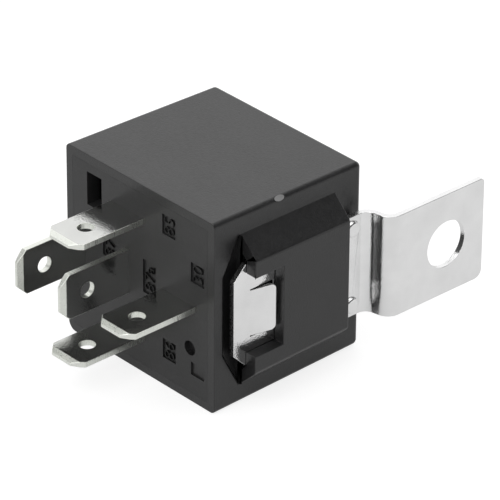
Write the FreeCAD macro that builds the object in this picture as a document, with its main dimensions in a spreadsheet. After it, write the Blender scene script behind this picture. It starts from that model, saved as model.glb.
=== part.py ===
import FreeCAD, Part
import math
import os
import re
import Sketcher

# A small automotive relay with five blade terminals and a folded mounting bracket.
# Frame: the origin is the middle of the pin face. -Y is the way the blades point, +Y is the way
# the bracket's tab points, +X is the side with the bracket's pocket, +Z is up. Millimetres.

SIZES = {
    # moulded cover
    "cover_width": 28.0,
    "cover_height": 27.0,
    "cover_depth": 24.7,
    "cover_wall": 1.25,
    "mould_draft": 0.73,
    "edge_radius": 0.7,
    "keyed_edge_radius": 1.3,
    # raised pocket on the cover's side, which holds the bracket
    "pocket_start": 4.25,
    "pocket_length": 15.95,
    "pocket_rise": 2.85,
    "pocket_foot_height": 21.2,
    "pocket_top_height": 16.0,
    "pocket_edge_radius": 0.3,
    "pocket_side_clearance": 0.1,
    "pocket_roof_clearance": 0.03,
    "pocket_floor_clearance": 0.3,
    "window_height": 11.2,
    "mouth_length": 2.65,
    "mouth_front_height": 10.9,
    "mouth_sink": 0.75,
    # base plate that closes the cover
    "plate_thickness": 2.0,
    "plate_clearance": 0.05,
    "vent_width": 2.8,
    "vent_height": 4.7,
    "vent_across": -8.55,
    "vent_up": 8.7,
    "dimple_radius": 1.0,
    "dimple_depth": 0.8,
    "dimple_across": 9.45,
    "dimple_up": -5.85,
    "label_width": 2.45,
    "label_height": 2.8,
    "long_label_height": 4.75,
    "short_label_height": 1.85,
    "label_depth": 0.25,
    "coil_label_offset": 6.65,
    "upper_label_drop": 0.1,
    "lower_label_drop": 1.05,
    "mark_label_drop": 1.15,
    "common_label_offset": 2.35,
    "common_label_up": 3.75,
    "closed_label_offset": 3.15,
    "closed_label_drop": 1.65,
    "open_label_offset": 3.8,
    "open_label_up": 0.4,
    # blade terminals
    "blade_width": 6.3,
    "blade_thickness": 0.8,
    "blade_reach": 11.0,
    "blade_hole_radius": 1.05,
    "blade_hole_setback": 6.7,
    "blade_clearance": 0.05,
    "tip_bevel": 0.9,
    "tip_thickness": 0.4,
    "tip_corner_across": 1.1,
    "tip_corner_along": 1.4,
    "coil_blade_across": -2.3,
    "coil_blade_up": 8.4,
    "common_blade_across": 7.3,
    "open_blade_across": -10.8,
    "closed_blade_across": -2.5,
    "coil_post_height": 5.0,
    "coil_finger_height": 3.0,
    "coil_finger_width": 1.6,
    "coil_finger_offset": 1.2,
    "common_foot_length": 4.4,
    "arm_width": 2.8,
    "arm_side": 3.3,
    "arm_step": 3.5,
    # mounting bracket, one folded strip
    "bracket_width": 14.4,
    "bracket_thickness": 0.8,
    "bracket_offset": -0.3,
    "bracket_standoff": 0.25,
    "bracket_overhang": 2.0,
    "bracket_front_corner": 1.95,
    "bracket_step": 3.65,
    "bracket_lean": 0.7,
    "bracket_setback": 0.25,
    "bracket_tab_end": 41.4,
    "bracket_inner_bend": 1.4,
    "bracket_outer_bend": 2.0,
    "bracket_hole_radius": 3.25,
    "bracket_hole_setback": 6.5,
    "tab_upper_radius": 0.6,
    "tab_lower_radius": 1.2,
    "tongue_start": 2.7,
    "tongue_length": 3.6,
    "tongue_width": 6.5,
    "tongue_lift": 0.8,
    "tongue_slit": 0.12,
    "tongue_corner_radius": 0.7,
    "tongue_stop_clearance": 0.45,
    "boss_radius": 1.1,
    "boss_rise": 0.45,
    "boss_spacing": 11.0,
    "boss_setback": 2.45,
    # magnet: yoke, core, bobbin and winding
    "yoke_thickness": 1.5,
    "yoke_width": 10.0,
    "yoke_room": 0.95,
    "yoke_bend_radius": 0.3,
    "core_radius": 2.5,
    "spigot_radius": 1.75,
    "pole_radius": 4.0,
    "pole_thickness": 1.0,
    "bobbin_length": 13.6,
    "bobbin_slack": 0.1,
    "bobbin_clearance": 0.05,
    "bobbin_tube": 0.7,
    "flange_thickness": 1.0,
    "flange_clearance": 0.1,
    "flange_overhang": 0.6,
    "post_clearance": 0.5,
    "winding_clearance": 0.05,
    # armature and contacts
    "armature_thickness": 1.2,
    "armature_margin": 0.5,
    "armature_corner": 1.5,
    "closed_gap": 0.05,
    "spring_thickness": 0.25,
    "spring_width": 6.0,
    "spring_arm_width": 4.4,
    "spring_tail": 2.0,
    "spring_tail_gap": 0.15,
    "spring_corner": 1.0,
    "rivet_radius": 0.7,
    "rivet_head_radius": 1.2,
    "rivet_head_height": 0.45,
    "rivet_spacing": 4.0,
    "rivet_setback": 6.6,
    "rivet_clearance": 0.03,
    "contact_radius": 1.5,
    "contact_shank_radius": 0.7,
    "contact_lower_height": 0.65,
    "contact_upper_height": 0.45,
    "contact_gap": 0.8,
    "contact_touch_gap": 0.04,
    "contact_edge": 0.2,
    "open_contact_height": 0.6,
    "closed_contact_height": 0.5,
    "carrier_width": 5.0,
    "carrier_margin": 0.3,
    # suppression resistor and coil leads
    "resistor_radius": 1.15,
    "resistor_length": 6.5,
    "resistor_edge_radius": 0.5,
    "resistor_across": -4.9,
    "resistor_room": 2.3,
    "resistor_lead_radius": 0.3,
    "wire_radius": 0.2,
    "wire_rise": 1.4,
    "wire_bend_radius": 0.8,
}

# Places that follow from the sizes above.
PLACES = {
    "cover_side": "cover_width / 2",
    "cover_top": "cover_height / 2",
    "inner_side": "cover_side - cover_wall",
    "inner_top": "cover_top - cover_wall",
    "plate_side": "inner_side - plate_clearance",
    "plate_top": "inner_top - plate_clearance",
    "blade_half": "blade_width / 2",
    "sheet_half": "blade_thickness / 2",
    # bracket, measured from its outer face in the pocket
    "strip_inner_face": "cover_side + bracket_standoff",
    "strip_outer_face": "strip_inner_face + bracket_thickness",
    "strip_front": "pocket_start - bracket_overhang",
    "web_start": "cover_depth - bracket_setback",
    "web_slope": "bracket_lean / bracket_step",
    "web_back": "bracket_thickness * sqrt(1 + web_slope * web_slope)",
    "tongue_root": "strip_front + tongue_start",
    "tongue_tip": "tongue_root + tongue_length",
    "boss_along": "web_start - boss_setback",
    "hole_along": "bracket_tab_end - bracket_hole_setback",
    # pocket
    "pocket_top": "cover_side + pocket_rise",
    "pocket_root": "cover_side - cover_wall / 2",
    "pocket_flank": "(pocket_foot_height - pocket_top_height) / 2 / pocket_rise",
    "pocket_root_half": "pocket_foot_height / 2 + cover_wall / 2 * pocket_flank",
    "pocket_roof": "strip_outer_face + pocket_roof_clearance",
    "pocket_floor": "strip_inner_face - pocket_floor_clearance",
    "pocket_roof_half": "bracket_width / 2 + abs(bracket_offset) + pocket_side_clearance",
    "pocket_floor_half": "pocket_roof_half + pocket_roof - pocket_floor",
    "window_end": "tongue_tip + tongue_stop_clearance",
    # magnet, in levels above the pin face
    "foot_level": "plate_thickness + blade_thickness",
    "yoke_level": "foot_level + yoke_thickness",
    "bobbin_level": "yoke_level + bobbin_length",
    "pole_level": "bobbin_level + bobbin_slack",
    "pole_face": "pole_level + pole_thickness",
    "hinge_across": "inner_side - yoke_room",
    "coil_right": "hinge_across - yoke_thickness - flange_clearance",
    "coil_left": "closed_blade_across + blade_thickness / 2 + post_clearance",
    "coil_across": "(coil_left + coil_right) / 2",
    "flange_radius": "(coil_right - coil_left) / 2",
    "winding_radius": "flange_radius - flange_overhang",
    "bobbin_bore": "core_radius + bobbin_clearance",
    "bobbin_outer": "bobbin_bore + bobbin_tube",
    "post_face": "coil_blade_up - blade_thickness / 2",
    # armature, measured from the hinge line
    "contact_across": "(open_blade_across + closed_blade_across) / 2",
    "contact_arm": "hinge_across - contact_across",
    "armature_length": "hinge_across - coil_across + pole_radius + armature_margin",
    "armature_top": "closed_gap + armature_thickness",
    "spring_top": "armature_top + spring_thickness",
    "stack_top": "spring_top + contact_upper_height",
    "swing": "asin(contact_gap / contact_arm)",
    # fixed contacts
    "open_contact_face": "pole_face + armature_top - contact_lower_height - contact_touch_gap",
    "open_carrier_level": "open_contact_face - open_contact_height",
    "contact_tilt": "contact_gap * contact_radius / contact_arm",
    "closed_contact_face": "pole_face + stack_top + contact_gap + contact_tilt + contact_touch_gap",
    "closed_carrier_level": "closed_contact_face + closed_contact_height",
    "carrier_end": "contact_across + contact_radius + carrier_margin",
    "resistor_level": "plate_thickness + resistor_radius + resistor_room",
    "coil_post_level": "plate_thickness + coil_post_height",
    "coil_finger_level": "coil_post_level + coil_finger_height",
}

# How close a point has to lie to a level to count as on it, and how straight "along" is.
TOUCH = 0.001
STRAIGHT = 0.99
# Shares that shape small rounds: of the sheet at a fold, of a dome's height, of a boss's radius.
FOLD_SHARE = 0.8
DOME_SHARE = 0.8
HOLLOW_SHARE = 0.6
# How far out a coil wire runs before it turns, in bend radii.
WIRE_LEVEL_SHARE = 1.5

document = FreeCAD.newDocument("relay")


def write_sheet(label, cells):
    """Makes a spreadsheet with one named cell in each row."""
    sheet = document.addObject("Spreadsheet::Sheet", label)
    for row, (name, content) in enumerate(cells.items(), start=1):
        sheet.set(f"A{row}", name)
        sheet.set(f"B{row}", content)
        sheet.setAlias(f"B{row}", name)
    return sheet


def link(formula):
    """Spells a formula with the sheet's name in front of each size and place."""
    def full_name(word):
        name = word.group()
        if name in SIZES:
            return f"Sizes.{name}"
        if name in PLACES:
            return f"Places.{name}"
        return name
    return re.sub(r"[a-z][a-z_]*", full_name, formula)


sizes = write_sheet("Sizes", {name: str(number) for name, number in SIZES.items()})
document.recompute()
places = write_sheet("Places", {name: "=" + link(formula) for name, formula in PLACES.items()})
document.recompute()

sub_parts = []


def new_body(label):
    """Starts one sub-part as a body of the document."""
    body = document.addObject("PartDesign::Body", label)
    body.Label = label
    sub_parts.append(body)
    return body


def new_sketch(body, name, plane_role, level):
    """Attaches an empty sketch to one of the body's own planes, lifted to a level."""
    sketch = body.newObject("Sketcher::SketchObject", name)
    plane = next(item for item in body.Origin.OriginFeatures if item.Role == plane_role)
    sketch.AttachmentSupport = (plane, "")
    sketch.MapMode = "FlatFace"
    # the XZ plane looks along -Y, so a level above it counts the other way
    sign = "-" if plane_role == "XZ_Plane" else ""
    sketch.setExpression("AttachmentOffset.Base.z", link(f"{sign}({level})"))
    return sketch


def pin_point(sketch, geometry, point, start, formulas):
    """Holds one point of a sketch at two distances from the sketch's origin."""
    for kind, begin, formula in zip(("DistanceX", "DistanceY"), start, formulas):
        number = sketch.addConstraint(Sketcher.Constraint(kind, -1, 1, geometry, point, begin))
        sketch.setExpression(f"Constraints[{number}]", link(formula))


def add_polygon(sketch, corners):
    """Draws a closed outline through the corners, each given as a pair of formulas."""
    first = sketch.GeometryCount
    count = len(corners)
    turn = 2 * math.pi / count
    ring = [(math.cos(turn * step), math.sin(turn * step)) for step in range(count)]
    for step, (here, there) in enumerate(zip(ring, ring[1:] + ring[:1])):
        line = Part.LineSegment(FreeCAD.Vector(*here, 0), FreeCAD.Vector(*there, 0))
        sketch.addGeometry(line, False)
    for step in range(count):
        following = first + (step + 1) % count
        sketch.addConstraint(Sketcher.Constraint("Coincident", first + step, 2, following, 1))
    for step, corner in enumerate(corners):
        pin_point(sketch, first + step, 1, ring[step], corner)


def add_rectangle(sketch, low, high):
    """Draws a rectangle between two corners."""
    (left, bottom), (right, top) = low, high
    add_polygon(sketch, [(left, bottom), (right, bottom), (right, top), (left, top)])


def add_circle(sketch, centre, radius):
    """Draws a circle with its centre and radius held by formulas."""
    circle = Part.Circle(FreeCAD.Vector(1, 1, 0), FreeCAD.Vector(0, 0, 1), 1)
    geometry = sketch.addGeometry(circle, False)
    pin_point(sketch, geometry, 3, (1, 1), centre)
    number = sketch.addConstraint(Sketcher.Constraint("Radius", geometry, 1))
    sketch.setExpression(f"Constraints[{number}]", link(radius))


def finish_extent(feature, sketch, length, side, draft):
    """Sets what a pad and a pocket have in common."""
    feature.Profile = sketch
    feature.setExpression("Length", link(length))
    if side == "both":
        feature.SideType = "Symmetric"
    if draft:
        feature.setExpression("TaperAngle", link(draft))
    document.recompute()


def add_pad(body, sketch, length, side="normal", draft=""):
    """Extrudes a sketch: along its normal, against it, or to both sides."""
    pad = body.newObject("PartDesign::Pad", f"{sketch.Name}_pad")
    if side == "against":
        pad.Reversed = True
    finish_extent(pad, sketch, length, side, draft)
    return pad


def add_pocket(body, sketch, length, side="against", draft=""):
    """Cuts a sketch out of the body and makes sure that something was cut."""
    before = body.Tip.Shape.Volume
    pocket = body.newObject("PartDesign::Pocket", f"{sketch.Name}_pocket")
    if side == "normal":
        pocket.Reversed = True
    finish_extent(pocket, sketch, length, side, draft)
    if not pocket.Shape.Volume < before:
        raise RuntimeError(f"{body.Label}: {pocket.Name} cuts nothing")
    return pocket


def edges_where(shape, wanted):
    """Names the edges of a shape whose direction and middle pass a test."""
    names = []
    for number, edge in enumerate(shape.Edges, start=1):
        start = edge.valueAt(edge.FirstParameter)
        end = edge.valueAt(edge.LastParameter)
        if wanted(edge, end.sub(start), edge.CenterOfMass):
            names.append(f"Edge{number}")
    return names


def runs_along(direction, axis):
    """Says whether a direction is within a few degrees of one axis."""
    length = direction.Length
    return length > 0 and abs(getattr(direction, axis)) > STRAIGHT * length


def round_edges(body, name, radius, wanted):
    """Rounds the edges that pass a test."""
    base = body.Tip
    names = edges_where(base.Shape, wanted)
    if not names:
        raise RuntimeError(f"{body.Label}: {name} finds no edge")
    fillet = body.newObject("PartDesign::Fillet", name)
    fillet.Base = (base, names)
    fillet.setExpression("Radius", link(radius))
    document.recompute()


def chamfer_edges(body, name, size, wanted):
    """Chamfers the edges that pass a test."""
    base = body.Tip
    names = edges_where(base.Shape, wanted)
    if not names:
        raise RuntimeError(f"{body.Label}: {name} finds no edge")
    chamfer = body.newObject("PartDesign::Chamfer", name)
    chamfer.Base = (base, names)
    chamfer.setExpression("Size", link(size))
    document.recompute()


def add_revolution(body, name, corners):
    """Turns an outline in the body's XY plane once round its Y axis."""
    sketch = new_sketch(body, name, "XY_Plane", "0")
    add_polygon(sketch, corners)
    turned = body.newObject("PartDesign::Revolution", f"{name}_turned")
    turned.Profile = sketch
    turned.ReferenceAxis = (sketch, ["V_Axis"])
    turned.Angle = 360
    document.recompute()


def make_cover():
    """Moulds the cover: a drafted box, open at the pin face, with the bracket's pocket."""
    body = new_body("cover")
    rim = new_sketch(body, "cover_rim", "XZ_Plane", "0")
    add_rectangle(rim, ("-cover_side", "-cover_top"), ("cover_side", "cover_top"))
    add_pad(body, rim, "cover_depth", "against", "-mould_draft")

    round_edges(body, "keyed_edge", "keyed_edge_radius",
                lambda edge, direction, middle:
                runs_along(direction, "y") and middle.x < 0 and middle.z < 0)
    round_edges(body, "rounded_edges", "edge_radius",
                lambda edge, direction, middle:
                (runs_along(direction, "y") and (middle.x > 0 or middle.z > 0)
                 and abs(middle.x) > places.inner_side and abs(middle.z) > places.inner_top)
                or middle.y > sizes.cover_depth - TOUCH)

    foot = new_sketch(body, "pocket_section", "XZ_Plane", "pocket_start")
    foot_half = "pocket_foot_height / 2"
    top_half = "pocket_top_height / 2"
    add_polygon(foot, [
        ("pocket_root", "-pocket_root_half"), ("pocket_top", f"-{top_half}"),
        ("pocket_top", top_half), ("pocket_root", "pocket_root_half"),
    ])
    add_pad(body, foot, "pocket_length", "against", "-mould_draft")
    crest = places.pocket_top - math.tan(math.radians(sizes.mould_draft)) * sizes.pocket_length
    pocket_end = sizes.pocket_start + sizes.pocket_length
    round_edges(body, "pocket_edges", "pocket_edge_radius",
                lambda edge, direction, middle:
                middle.x > crest - TOUCH
                and (runs_along(direction, "y") or abs(middle.y - pocket_end) < TOUCH))

    cavity = new_sketch(body, "cavity", "XZ_Plane", "0")
    add_rectangle(cavity, ("-inner_side", "-inner_top"), ("inner_side", "inner_top"))
    add_pocket(body, cavity, "cover_depth - cover_wall", draft="-mould_draft")

    channel = new_sketch(body, "bracket_channel", "XZ_Plane", "pocket_start")
    add_polygon(channel, [
        ("pocket_floor", "-pocket_floor_half"), ("pocket_roof", "-pocket_roof_half"),
        ("pocket_roof", "pocket_roof_half"), ("pocket_floor", "pocket_floor_half"),
    ])
    add_pocket(body, channel, "pocket_length + cover_wall")

    mouth = new_sketch(body, "pocket_mouth", "YZ_Plane", "pocket_top")
    mouth_start = "pocket_start - mouth_length"
    add_polygon(mouth, [
        (mouth_start, "-mouth_front_height / 2"), ("pocket_start", f"-{foot_half}"),
        ("pocket_start", foot_half), (mouth_start, "mouth_front_height / 2"),
    ])
    add_pocket(body, mouth, "pocket_rise + mouth_sink")

    window = new_sketch(body, "pocket_window", "YZ_Plane", "pocket_top + cover_wall")
    add_rectangle(window, (mouth_start, "-window_height / 2"), ("window_end", "window_height / 2"))
    add_pocket(body, window, "pocket_top + cover_wall - strip_outer_face")


def label_boxes():
    """Gives the low corner, across and up, and the height of each sunken label box."""
    beside_coil = "coil_blade_across + coil_label_offset"
    beside_common = "common_blade_across + common_label_offset"
    return [
        (beside_coil, "coil_blade_up - upper_label_drop", "label_height"),
        (beside_coil, "-coil_blade_up - lower_label_drop", "label_height"),
        (beside_common, "common_label_up", "label_height"),
        (beside_common, "-coil_blade_up - mark_label_drop", "short_label_height"),
        ("closed_blade_across + closed_label_offset", "-closed_label_drop", "long_label_height"),
        ("open_blade_across + open_label_offset", "open_label_up", "label_height"),
    ]


def make_base_plate():
    """Moulds the base plate that closes the cover and carries the terminals."""
    body = new_body("base_plate")
    outline = new_sketch(body, "plate_outline", "XZ_Plane", "0")
    add_rectangle(outline, ("-plate_side", "-plate_top"), ("plate_side", "plate_top"))
    add_pad(body, outline, "plate_thickness", "against", "-mould_draft")

    slots = new_sketch(body, "blade_slots", "XZ_Plane", "0")
    wide = "(blade_width / 2 + blade_clearance)"
    thin = "(blade_thickness / 2 + blade_clearance)"
    for across, up in (("coil_blade_across", "coil_blade_up"),
                       ("coil_blade_across", "-coil_blade_up"),
                       ("common_blade_across", "0")):
        add_rectangle(slots, (f"{across} - {wide}", f"{up} - {thin}"),
                      (f"{across} + {wide}", f"{up} + {thin}"))
    for across in ("open_blade_across", "closed_blade_across"):
        add_rectangle(slots, (f"{across} - {thin}", f"-{wide}"), (f"{across} + {thin}", wide))
    add_rectangle(slots, ("vent_across - vent_width / 2", "vent_up - vent_height / 2"),
                  ("vent_across + vent_width / 2", "vent_up + vent_height / 2"))
    add_pocket(body, slots, "plate_thickness")

    dimple = new_sketch(body, "locating_dimple", "XZ_Plane", "0")
    add_circle(dimple, ("dimple_across", "dimple_up"), "dimple_radius")
    add_pocket(body, dimple, "dimple_depth")

    labels = new_sketch(body, "label_boxes", "XZ_Plane", "0")
    for left, bottom, height in label_boxes():
        add_rectangle(labels, (left, bottom), (f"{left} + label_width", f"{bottom} + {height}"))
    add_pocket(body, labels, "label_depth")


def add_blade(body, post, level="0"):
    """Stamps a blade with its post. Its own frame has the width along X and the sheet in XY."""
    flat = new_sketch(body, f"{body.Label}_flat", "XY_Plane", level)
    tip = "-blade_reach"
    narrow = "(blade_half - tip_corner_across)"
    shoulder = "tip_corner_along - blade_reach"
    add_polygon(flat, [(f"-{narrow}", tip), (narrow, tip), ("blade_half", shoulder),
                       *post, ("-blade_half", shoulder)])
    add_pad(body, flat, "blade_thickness", "both")

    bevel = new_sketch(body, f"{body.Label}_bevel", "YZ_Plane", level)
    for sign in ("-", ""):
        face = f"{sign}sheet_half"
        add_polygon(bevel, [(tip, f"{sign}tip_thickness / 2"), (tip, face),
                            ("tip_bevel - blade_reach", face)])
    add_pocket(body, bevel, "blade_width", "both")

    hole = new_sketch(body, f"{body.Label}_hole", "XY_Plane", level)
    add_circle(hole, ("0", "-blade_hole_setback"), "blade_hole_radius")
    add_pocket(body, hole, "blade_thickness", "both")


def round_fold(body, name, near):
    """Rounds the outside of a fold, whose sharp edge runs along X at a level and a height."""
    along, up = near
    round_edges(body, name, f"blade_thickness * {FOLD_SHARE}",
                lambda edge, direction, middle:
                runs_along(direction, "x")
                and math.hypot(middle.y - along, middle.z - up) < TOUCH)


def make_coil_terminal(label, side):
    """Stamps terminal 85 or 86: a flat blade whose post ends in a finger for the coil wire."""
    body = new_body(label)
    body.setExpression("Placement.Base.x", link("coil_blade_across"))
    body.setExpression("Placement.Base.z", link(f"{side}coil_blade_up"))
    right = "(coil_finger_offset + coil_finger_width / 2)"
    left = "(coil_finger_offset - coil_finger_width / 2)"
    add_blade(body, [
        ("blade_half", "coil_post_level"), (right, "coil_post_level"),
        (right, "coil_finger_level"), (left, "coil_finger_level"),
        (left, "coil_post_level"), ("-blade_half", "coil_post_level"),
    ])


def make_common_terminal():
    """Stamps terminal 30, whose foot folds flat under the yoke."""
    body = new_body("terminal_30")
    body.setExpression("Placement.Base.x", link("common_blade_across"))
    add_blade(body, [("blade_half", "foot_level"), ("-blade_half", "foot_level")])
    foot = new_sketch(body, "common_foot", "YZ_Plane", "0")
    add_rectangle(foot, ("plate_thickness", "-sheet_half"), ("foot_level", "common_foot_length"))
    add_pad(body, foot, "blade_width", "both")
    round_fold(body, "foot_fold", (places.foot_level, -places.sheet_half))


def make_open_terminal():
    """Stamps terminal 87, which folds over under the open contact."""
    body = new_body("terminal_87")
    body.Placement.Rotation = FreeCAD.Rotation(FreeCAD.Vector(0, 1, 0), -90)
    body.setExpression("Placement.Base.x", link("open_blade_across"))
    top = "open_carrier_level"
    half = "(carrier_width / 2)"
    add_blade(body, [
        ("blade_half", "coil_post_level"), (half, "coil_finger_level"), (half, top),
        (f"-{half}", top), (f"-{half}", "coil_finger_level"), ("-blade_half", "coil_post_level"),
    ])
    carrier = new_sketch(body, "open_carrier", "XZ_Plane", f"{top} - blade_thickness")
    add_rectangle(carrier, (f"-{half}", "open_blade_across - carrier_end"), (half, "sheet_half"))
    add_pad(body, carrier, "blade_thickness", "against")
    round_fold(body, "open_fold", (places.open_carrier_level, places.sheet_half))
    eye = new_sketch(body, "open_contact_hole", "XZ_Plane", f"{top} - blade_thickness")
    add_circle(eye, ("0", "open_blade_across - contact_across"),
               "contact_shank_radius + rivet_clearance")
    add_pocket(body, eye, "blade_thickness")


def make_closed_terminal():
    """Stamps terminal 87a, which steps past the spring and folds over above it."""
    body = new_body("terminal_87a")
    body.Placement.Rotation = FreeCAD.Rotation(FreeCAD.Vector(0, 1, 0), -90)
    body.setExpression("Placement.Base.x", link("closed_blade_across"))
    outer = "(arm_side + arm_width)"
    top = "(closed_carrier_level + blade_thickness)"
    add_blade(body, [
        ("blade_half", "foot_level"), (outer, "foot_level + arm_width"), (outer, top),
        ("arm_side", top), ("arm_side", "foot_level + arm_width + arm_step"),
        ("-blade_half", "foot_level + arm_width / 2"),
    ])
    carrier = new_sketch(body, "closed_carrier", "XZ_Plane", "closed_carrier_level")
    near = "(closed_blade_across - contact_across - contact_radius - carrier_margin)"
    far = "(closed_blade_across - contact_across + contact_radius + carrier_margin)"
    below = "-(contact_radius + carrier_margin)"
    add_polygon(carrier, [
        ("arm_side", "-sheet_half"), (outer, "-sheet_half"), (outer, far),
        (below, far), (below, near), ("arm_side", near),
    ])
    add_pad(body, carrier, "blade_thickness", "against")
    fold_level = places.closed_carrier_level + sizes.blade_thickness
    round_fold(body, "closed_fold", (fold_level, -places.sheet_half))
    eye = new_sketch(body, "closed_contact_hole", "XZ_Plane", "closed_carrier_level")
    add_circle(eye, ("0", "closed_blade_across - contact_across"),
               "contact_shank_radius + rivet_clearance")
    add_pocket(body, eye, "blade_thickness")


def make_bracket():
    """Folds the mounting bracket: strip in the pocket, web behind the cover, tab with its hole."""
    body = new_body("bracket")
    body.setExpression("Placement.Base.x", link("strip_outer_face"))
    body.setExpression("Placement.Base.z", link("bracket_offset"))
    side = new_sketch(body, "bracket_side", "XY_Plane", "0")
    sheet = "bracket_thickness"
    add_polygon(side, [
        ("0", "strip_front"), ("0", "web_start"),
        ("bracket_step", "web_start + bracket_lean"), ("bracket_step", "bracket_tab_end"),
        (f"bracket_step - {sheet}", "bracket_tab_end"),
        (f"bracket_step - {sheet}", f"web_start + bracket_lean - web_slope * {sheet} + web_back"),
        (f"-{sheet}", f"web_start - web_slope * {sheet} + web_back"),
        (f"-{sheet}", "strip_front"),
    ])
    add_pad(body, side, "bracket_width", "both")

    step = sizes.bracket_step
    thick = sizes.bracket_thickness
    bends = (
        ("inner_bend", "bracket_inner_bend", 0),
        ("inner_bend_back", "bracket_inner_bend + bracket_thickness", -thick),
        ("outer_bend", "bracket_outer_bend", step),
        ("outer_bend_back", "bracket_outer_bend - bracket_thickness", step - thick),
    )
    for name, radius, across in bends:
        round_edges(body, name, radius,
                    lambda edge, direction, middle, across=across:
                    runs_along(direction, "z") and abs(middle.x - across) < TOUCH
                    and places.web_start - thick < middle.y < places.web_start + step)

    def at_corner(level, up):
        def wanted(edge, direction, middle):
            return (runs_along(direction, "x") and abs(middle.y - level) < TOUCH
                    and middle.z * up > 0)
        return wanted

    chamfer_edges(body, "front_corners", "bracket_front_corner",
                  lambda edge, direction, middle:
                  runs_along(direction, "x") and abs(middle.y - places.strip_front) < TOUCH)
    tab_end = sizes.bracket_tab_end
    round_edges(body, "tab_upper_corner", "tab_upper_radius", at_corner(tab_end, 1))
    round_edges(body, "tab_lower_corner", "tab_lower_radius", at_corner(tab_end, -1))

    lance = new_sketch(body, "tongue_lance", "YZ_Plane", "bracket_step")
    half = "(tongue_width / 2)"
    slit_half = "(tongue_width / 2 + tongue_slit)"
    add_rectangle(lance, ("tongue_root", f"-{slit_half}"), ("tongue_tip + tongue_slit", slit_half))
    add_pocket(body, lance, "bracket_step + bracket_thickness")
    tongue = new_sketch(body, "tongue_side", "XY_Plane", "0")
    add_polygon(tongue, [
        ("0", "tongue_root"), ("tongue_lift", "tongue_tip"),
        ("tongue_lift - bracket_thickness", "tongue_tip"), ("-bracket_thickness", "tongue_root"),
    ])
    add_pad(body, tongue, "tongue_width", "both")
    round_edges(body, "tongue_corners", "tongue_corner_radius",
                lambda edge, direction, middle:
                runs_along(direction, "x") and abs(middle.y - places.tongue_tip) < TOUCH
                and abs(abs(middle.z) - sizes.tongue_width / 2) < TOUCH)

    bosses = new_sketch(body, "stop_bosses", "YZ_Plane", "0")
    hollows = new_sketch(body, "boss_hollows", "YZ_Plane", "-bracket_thickness / 2")
    for sign in ("-", ""):
        centre = ("boss_along", f"{sign}boss_spacing / 2")
        add_circle(bosses, centre, "boss_radius")
        add_circle(hollows, centre, f"boss_radius * {HOLLOW_SHARE}")
    add_pad(body, bosses, "boss_rise")
    round_edges(body, "boss_domes", f"boss_rise * {DOME_SHARE}",
                lambda edge, direction, middle:
                abs(middle.x - sizes.boss_rise) < TOUCH and middle.y < places.web_start)
    add_pocket(body, hollows, "bracket_thickness")

    hole = new_sketch(body, "bracket_hole", "YZ_Plane", "bracket_step")
    add_circle(hole, ("hole_along", "0"), "bracket_hole_radius")
    add_pocket(body, hole, "bracket_thickness")


def make_yoke():
    """Bends the L-shaped yoke, which stands on the common terminal's foot."""
    body = new_body("yoke")
    side = new_sketch(body, "yoke_side", "XY_Plane", "0")
    leg = "hinge_across - yoke_thickness"
    end = "coil_across - core_radius * 2"
    add_polygon(side, [
        (end, "foot_level"), ("hinge_across", "foot_level"), ("hinge_across", "pole_face"),
        (leg, "pole_face"), (leg, "yoke_level"), (end, "yoke_level"),
    ])
    add_pad(body, side, "yoke_width", "both")
    hinge = places.hinge_across
    round_edges(body, "outer_bend_of_yoke", "yoke_bend_radius + yoke_thickness",
                lambda edge, direction, middle:
                runs_along(direction, "z") and abs(middle.x - hinge) < TOUCH
                and abs(middle.y - places.foot_level) < TOUCH)
    hole = new_sketch(body, "spigot_hole", "XZ_Plane", "foot_level")
    add_circle(hole, ("coil_across", "0"), "spigot_radius + rivet_clearance")
    add_pocket(body, hole, "yoke_thickness")


def make_core():
    """Turns the core: a spigot held in the yoke, the shank and the pole head."""
    body = new_body("core")
    body.setExpression("Placement.Base.x", link("coil_across"))
    add_revolution(body, "core_half", [
        ("0", "foot_level"), ("spigot_radius", "foot_level"), ("spigot_radius", "yoke_level"),
        ("core_radius", "yoke_level"), ("core_radius", "pole_level"),
        ("pole_radius", "pole_level"), ("pole_radius", "pole_face"), ("0", "pole_face"),
    ])


def make_bobbin():
    """Moulds the bobbin: a tube, a round upper flange and a long lower flange between posts."""
    body = new_body("bobbin")
    body.setExpression("Placement.Base.x", link("coil_across"))
    tube_start = "yoke_level"
    add_revolution(body, "bobbin_half", [
        ("bobbin_bore", tube_start), ("bobbin_outer", tube_start),
        ("bobbin_outer", "bobbin_level - flange_thickness"),
        ("flange_radius", "bobbin_level - flange_thickness"), ("flange_radius", "bobbin_level"),
        ("bobbin_bore", "bobbin_level"),
    ])
    flange = new_sketch(body, "lower_flange", "XZ_Plane", tube_start)
    reach = "(post_face - blade_clearance)"
    add_rectangle(flange, ("-flange_radius", f"-{reach}"), ("flange_radius", reach))
    add_circle(flange, ("0", "0"), "(bobbin_bore + bobbin_outer) / 2")
    add_pad(body, flange, "flange_thickness", "against")


def make_winding():
    """Winds the coil as one sleeve between the flanges."""
    body = new_body("coil_winding")
    body.setExpression("Placement.Base.x", link("coil_across"))
    start = "yoke_level + flange_thickness + winding_clearance"
    end = "bobbin_level - flange_thickness - winding_clearance"
    inner = "bobbin_outer + winding_clearance"
    add_revolution(body, "winding_half", [
        (inner, start), ("winding_radius", start), ("winding_radius", end), (inner, end),
    ])


def place_on_hinge(body):
    """Puts a piece of the armature on the hinge line, swung open as it rests."""
    body.Placement.Rotation = FreeCAD.Rotation(FreeCAD.Vector(0, 0, 1), -1)
    body.setExpression("Placement.Base.x", link("hinge_across"))
    body.setExpression("Placement.Base.y", link("pole_face"))
    body.setExpression("Placement.Rotation.Angle", link("swing"))
    body.Placement.Rotation.Axis = FreeCAD.Vector(0, 0, -1)


def rivet_centres():
    """Gives the two rivets of the armature, across and up from the hinge line."""
    return [("-rivet_setback", f"{sign}rivet_spacing / 2") for sign in ("-", "")]


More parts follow.
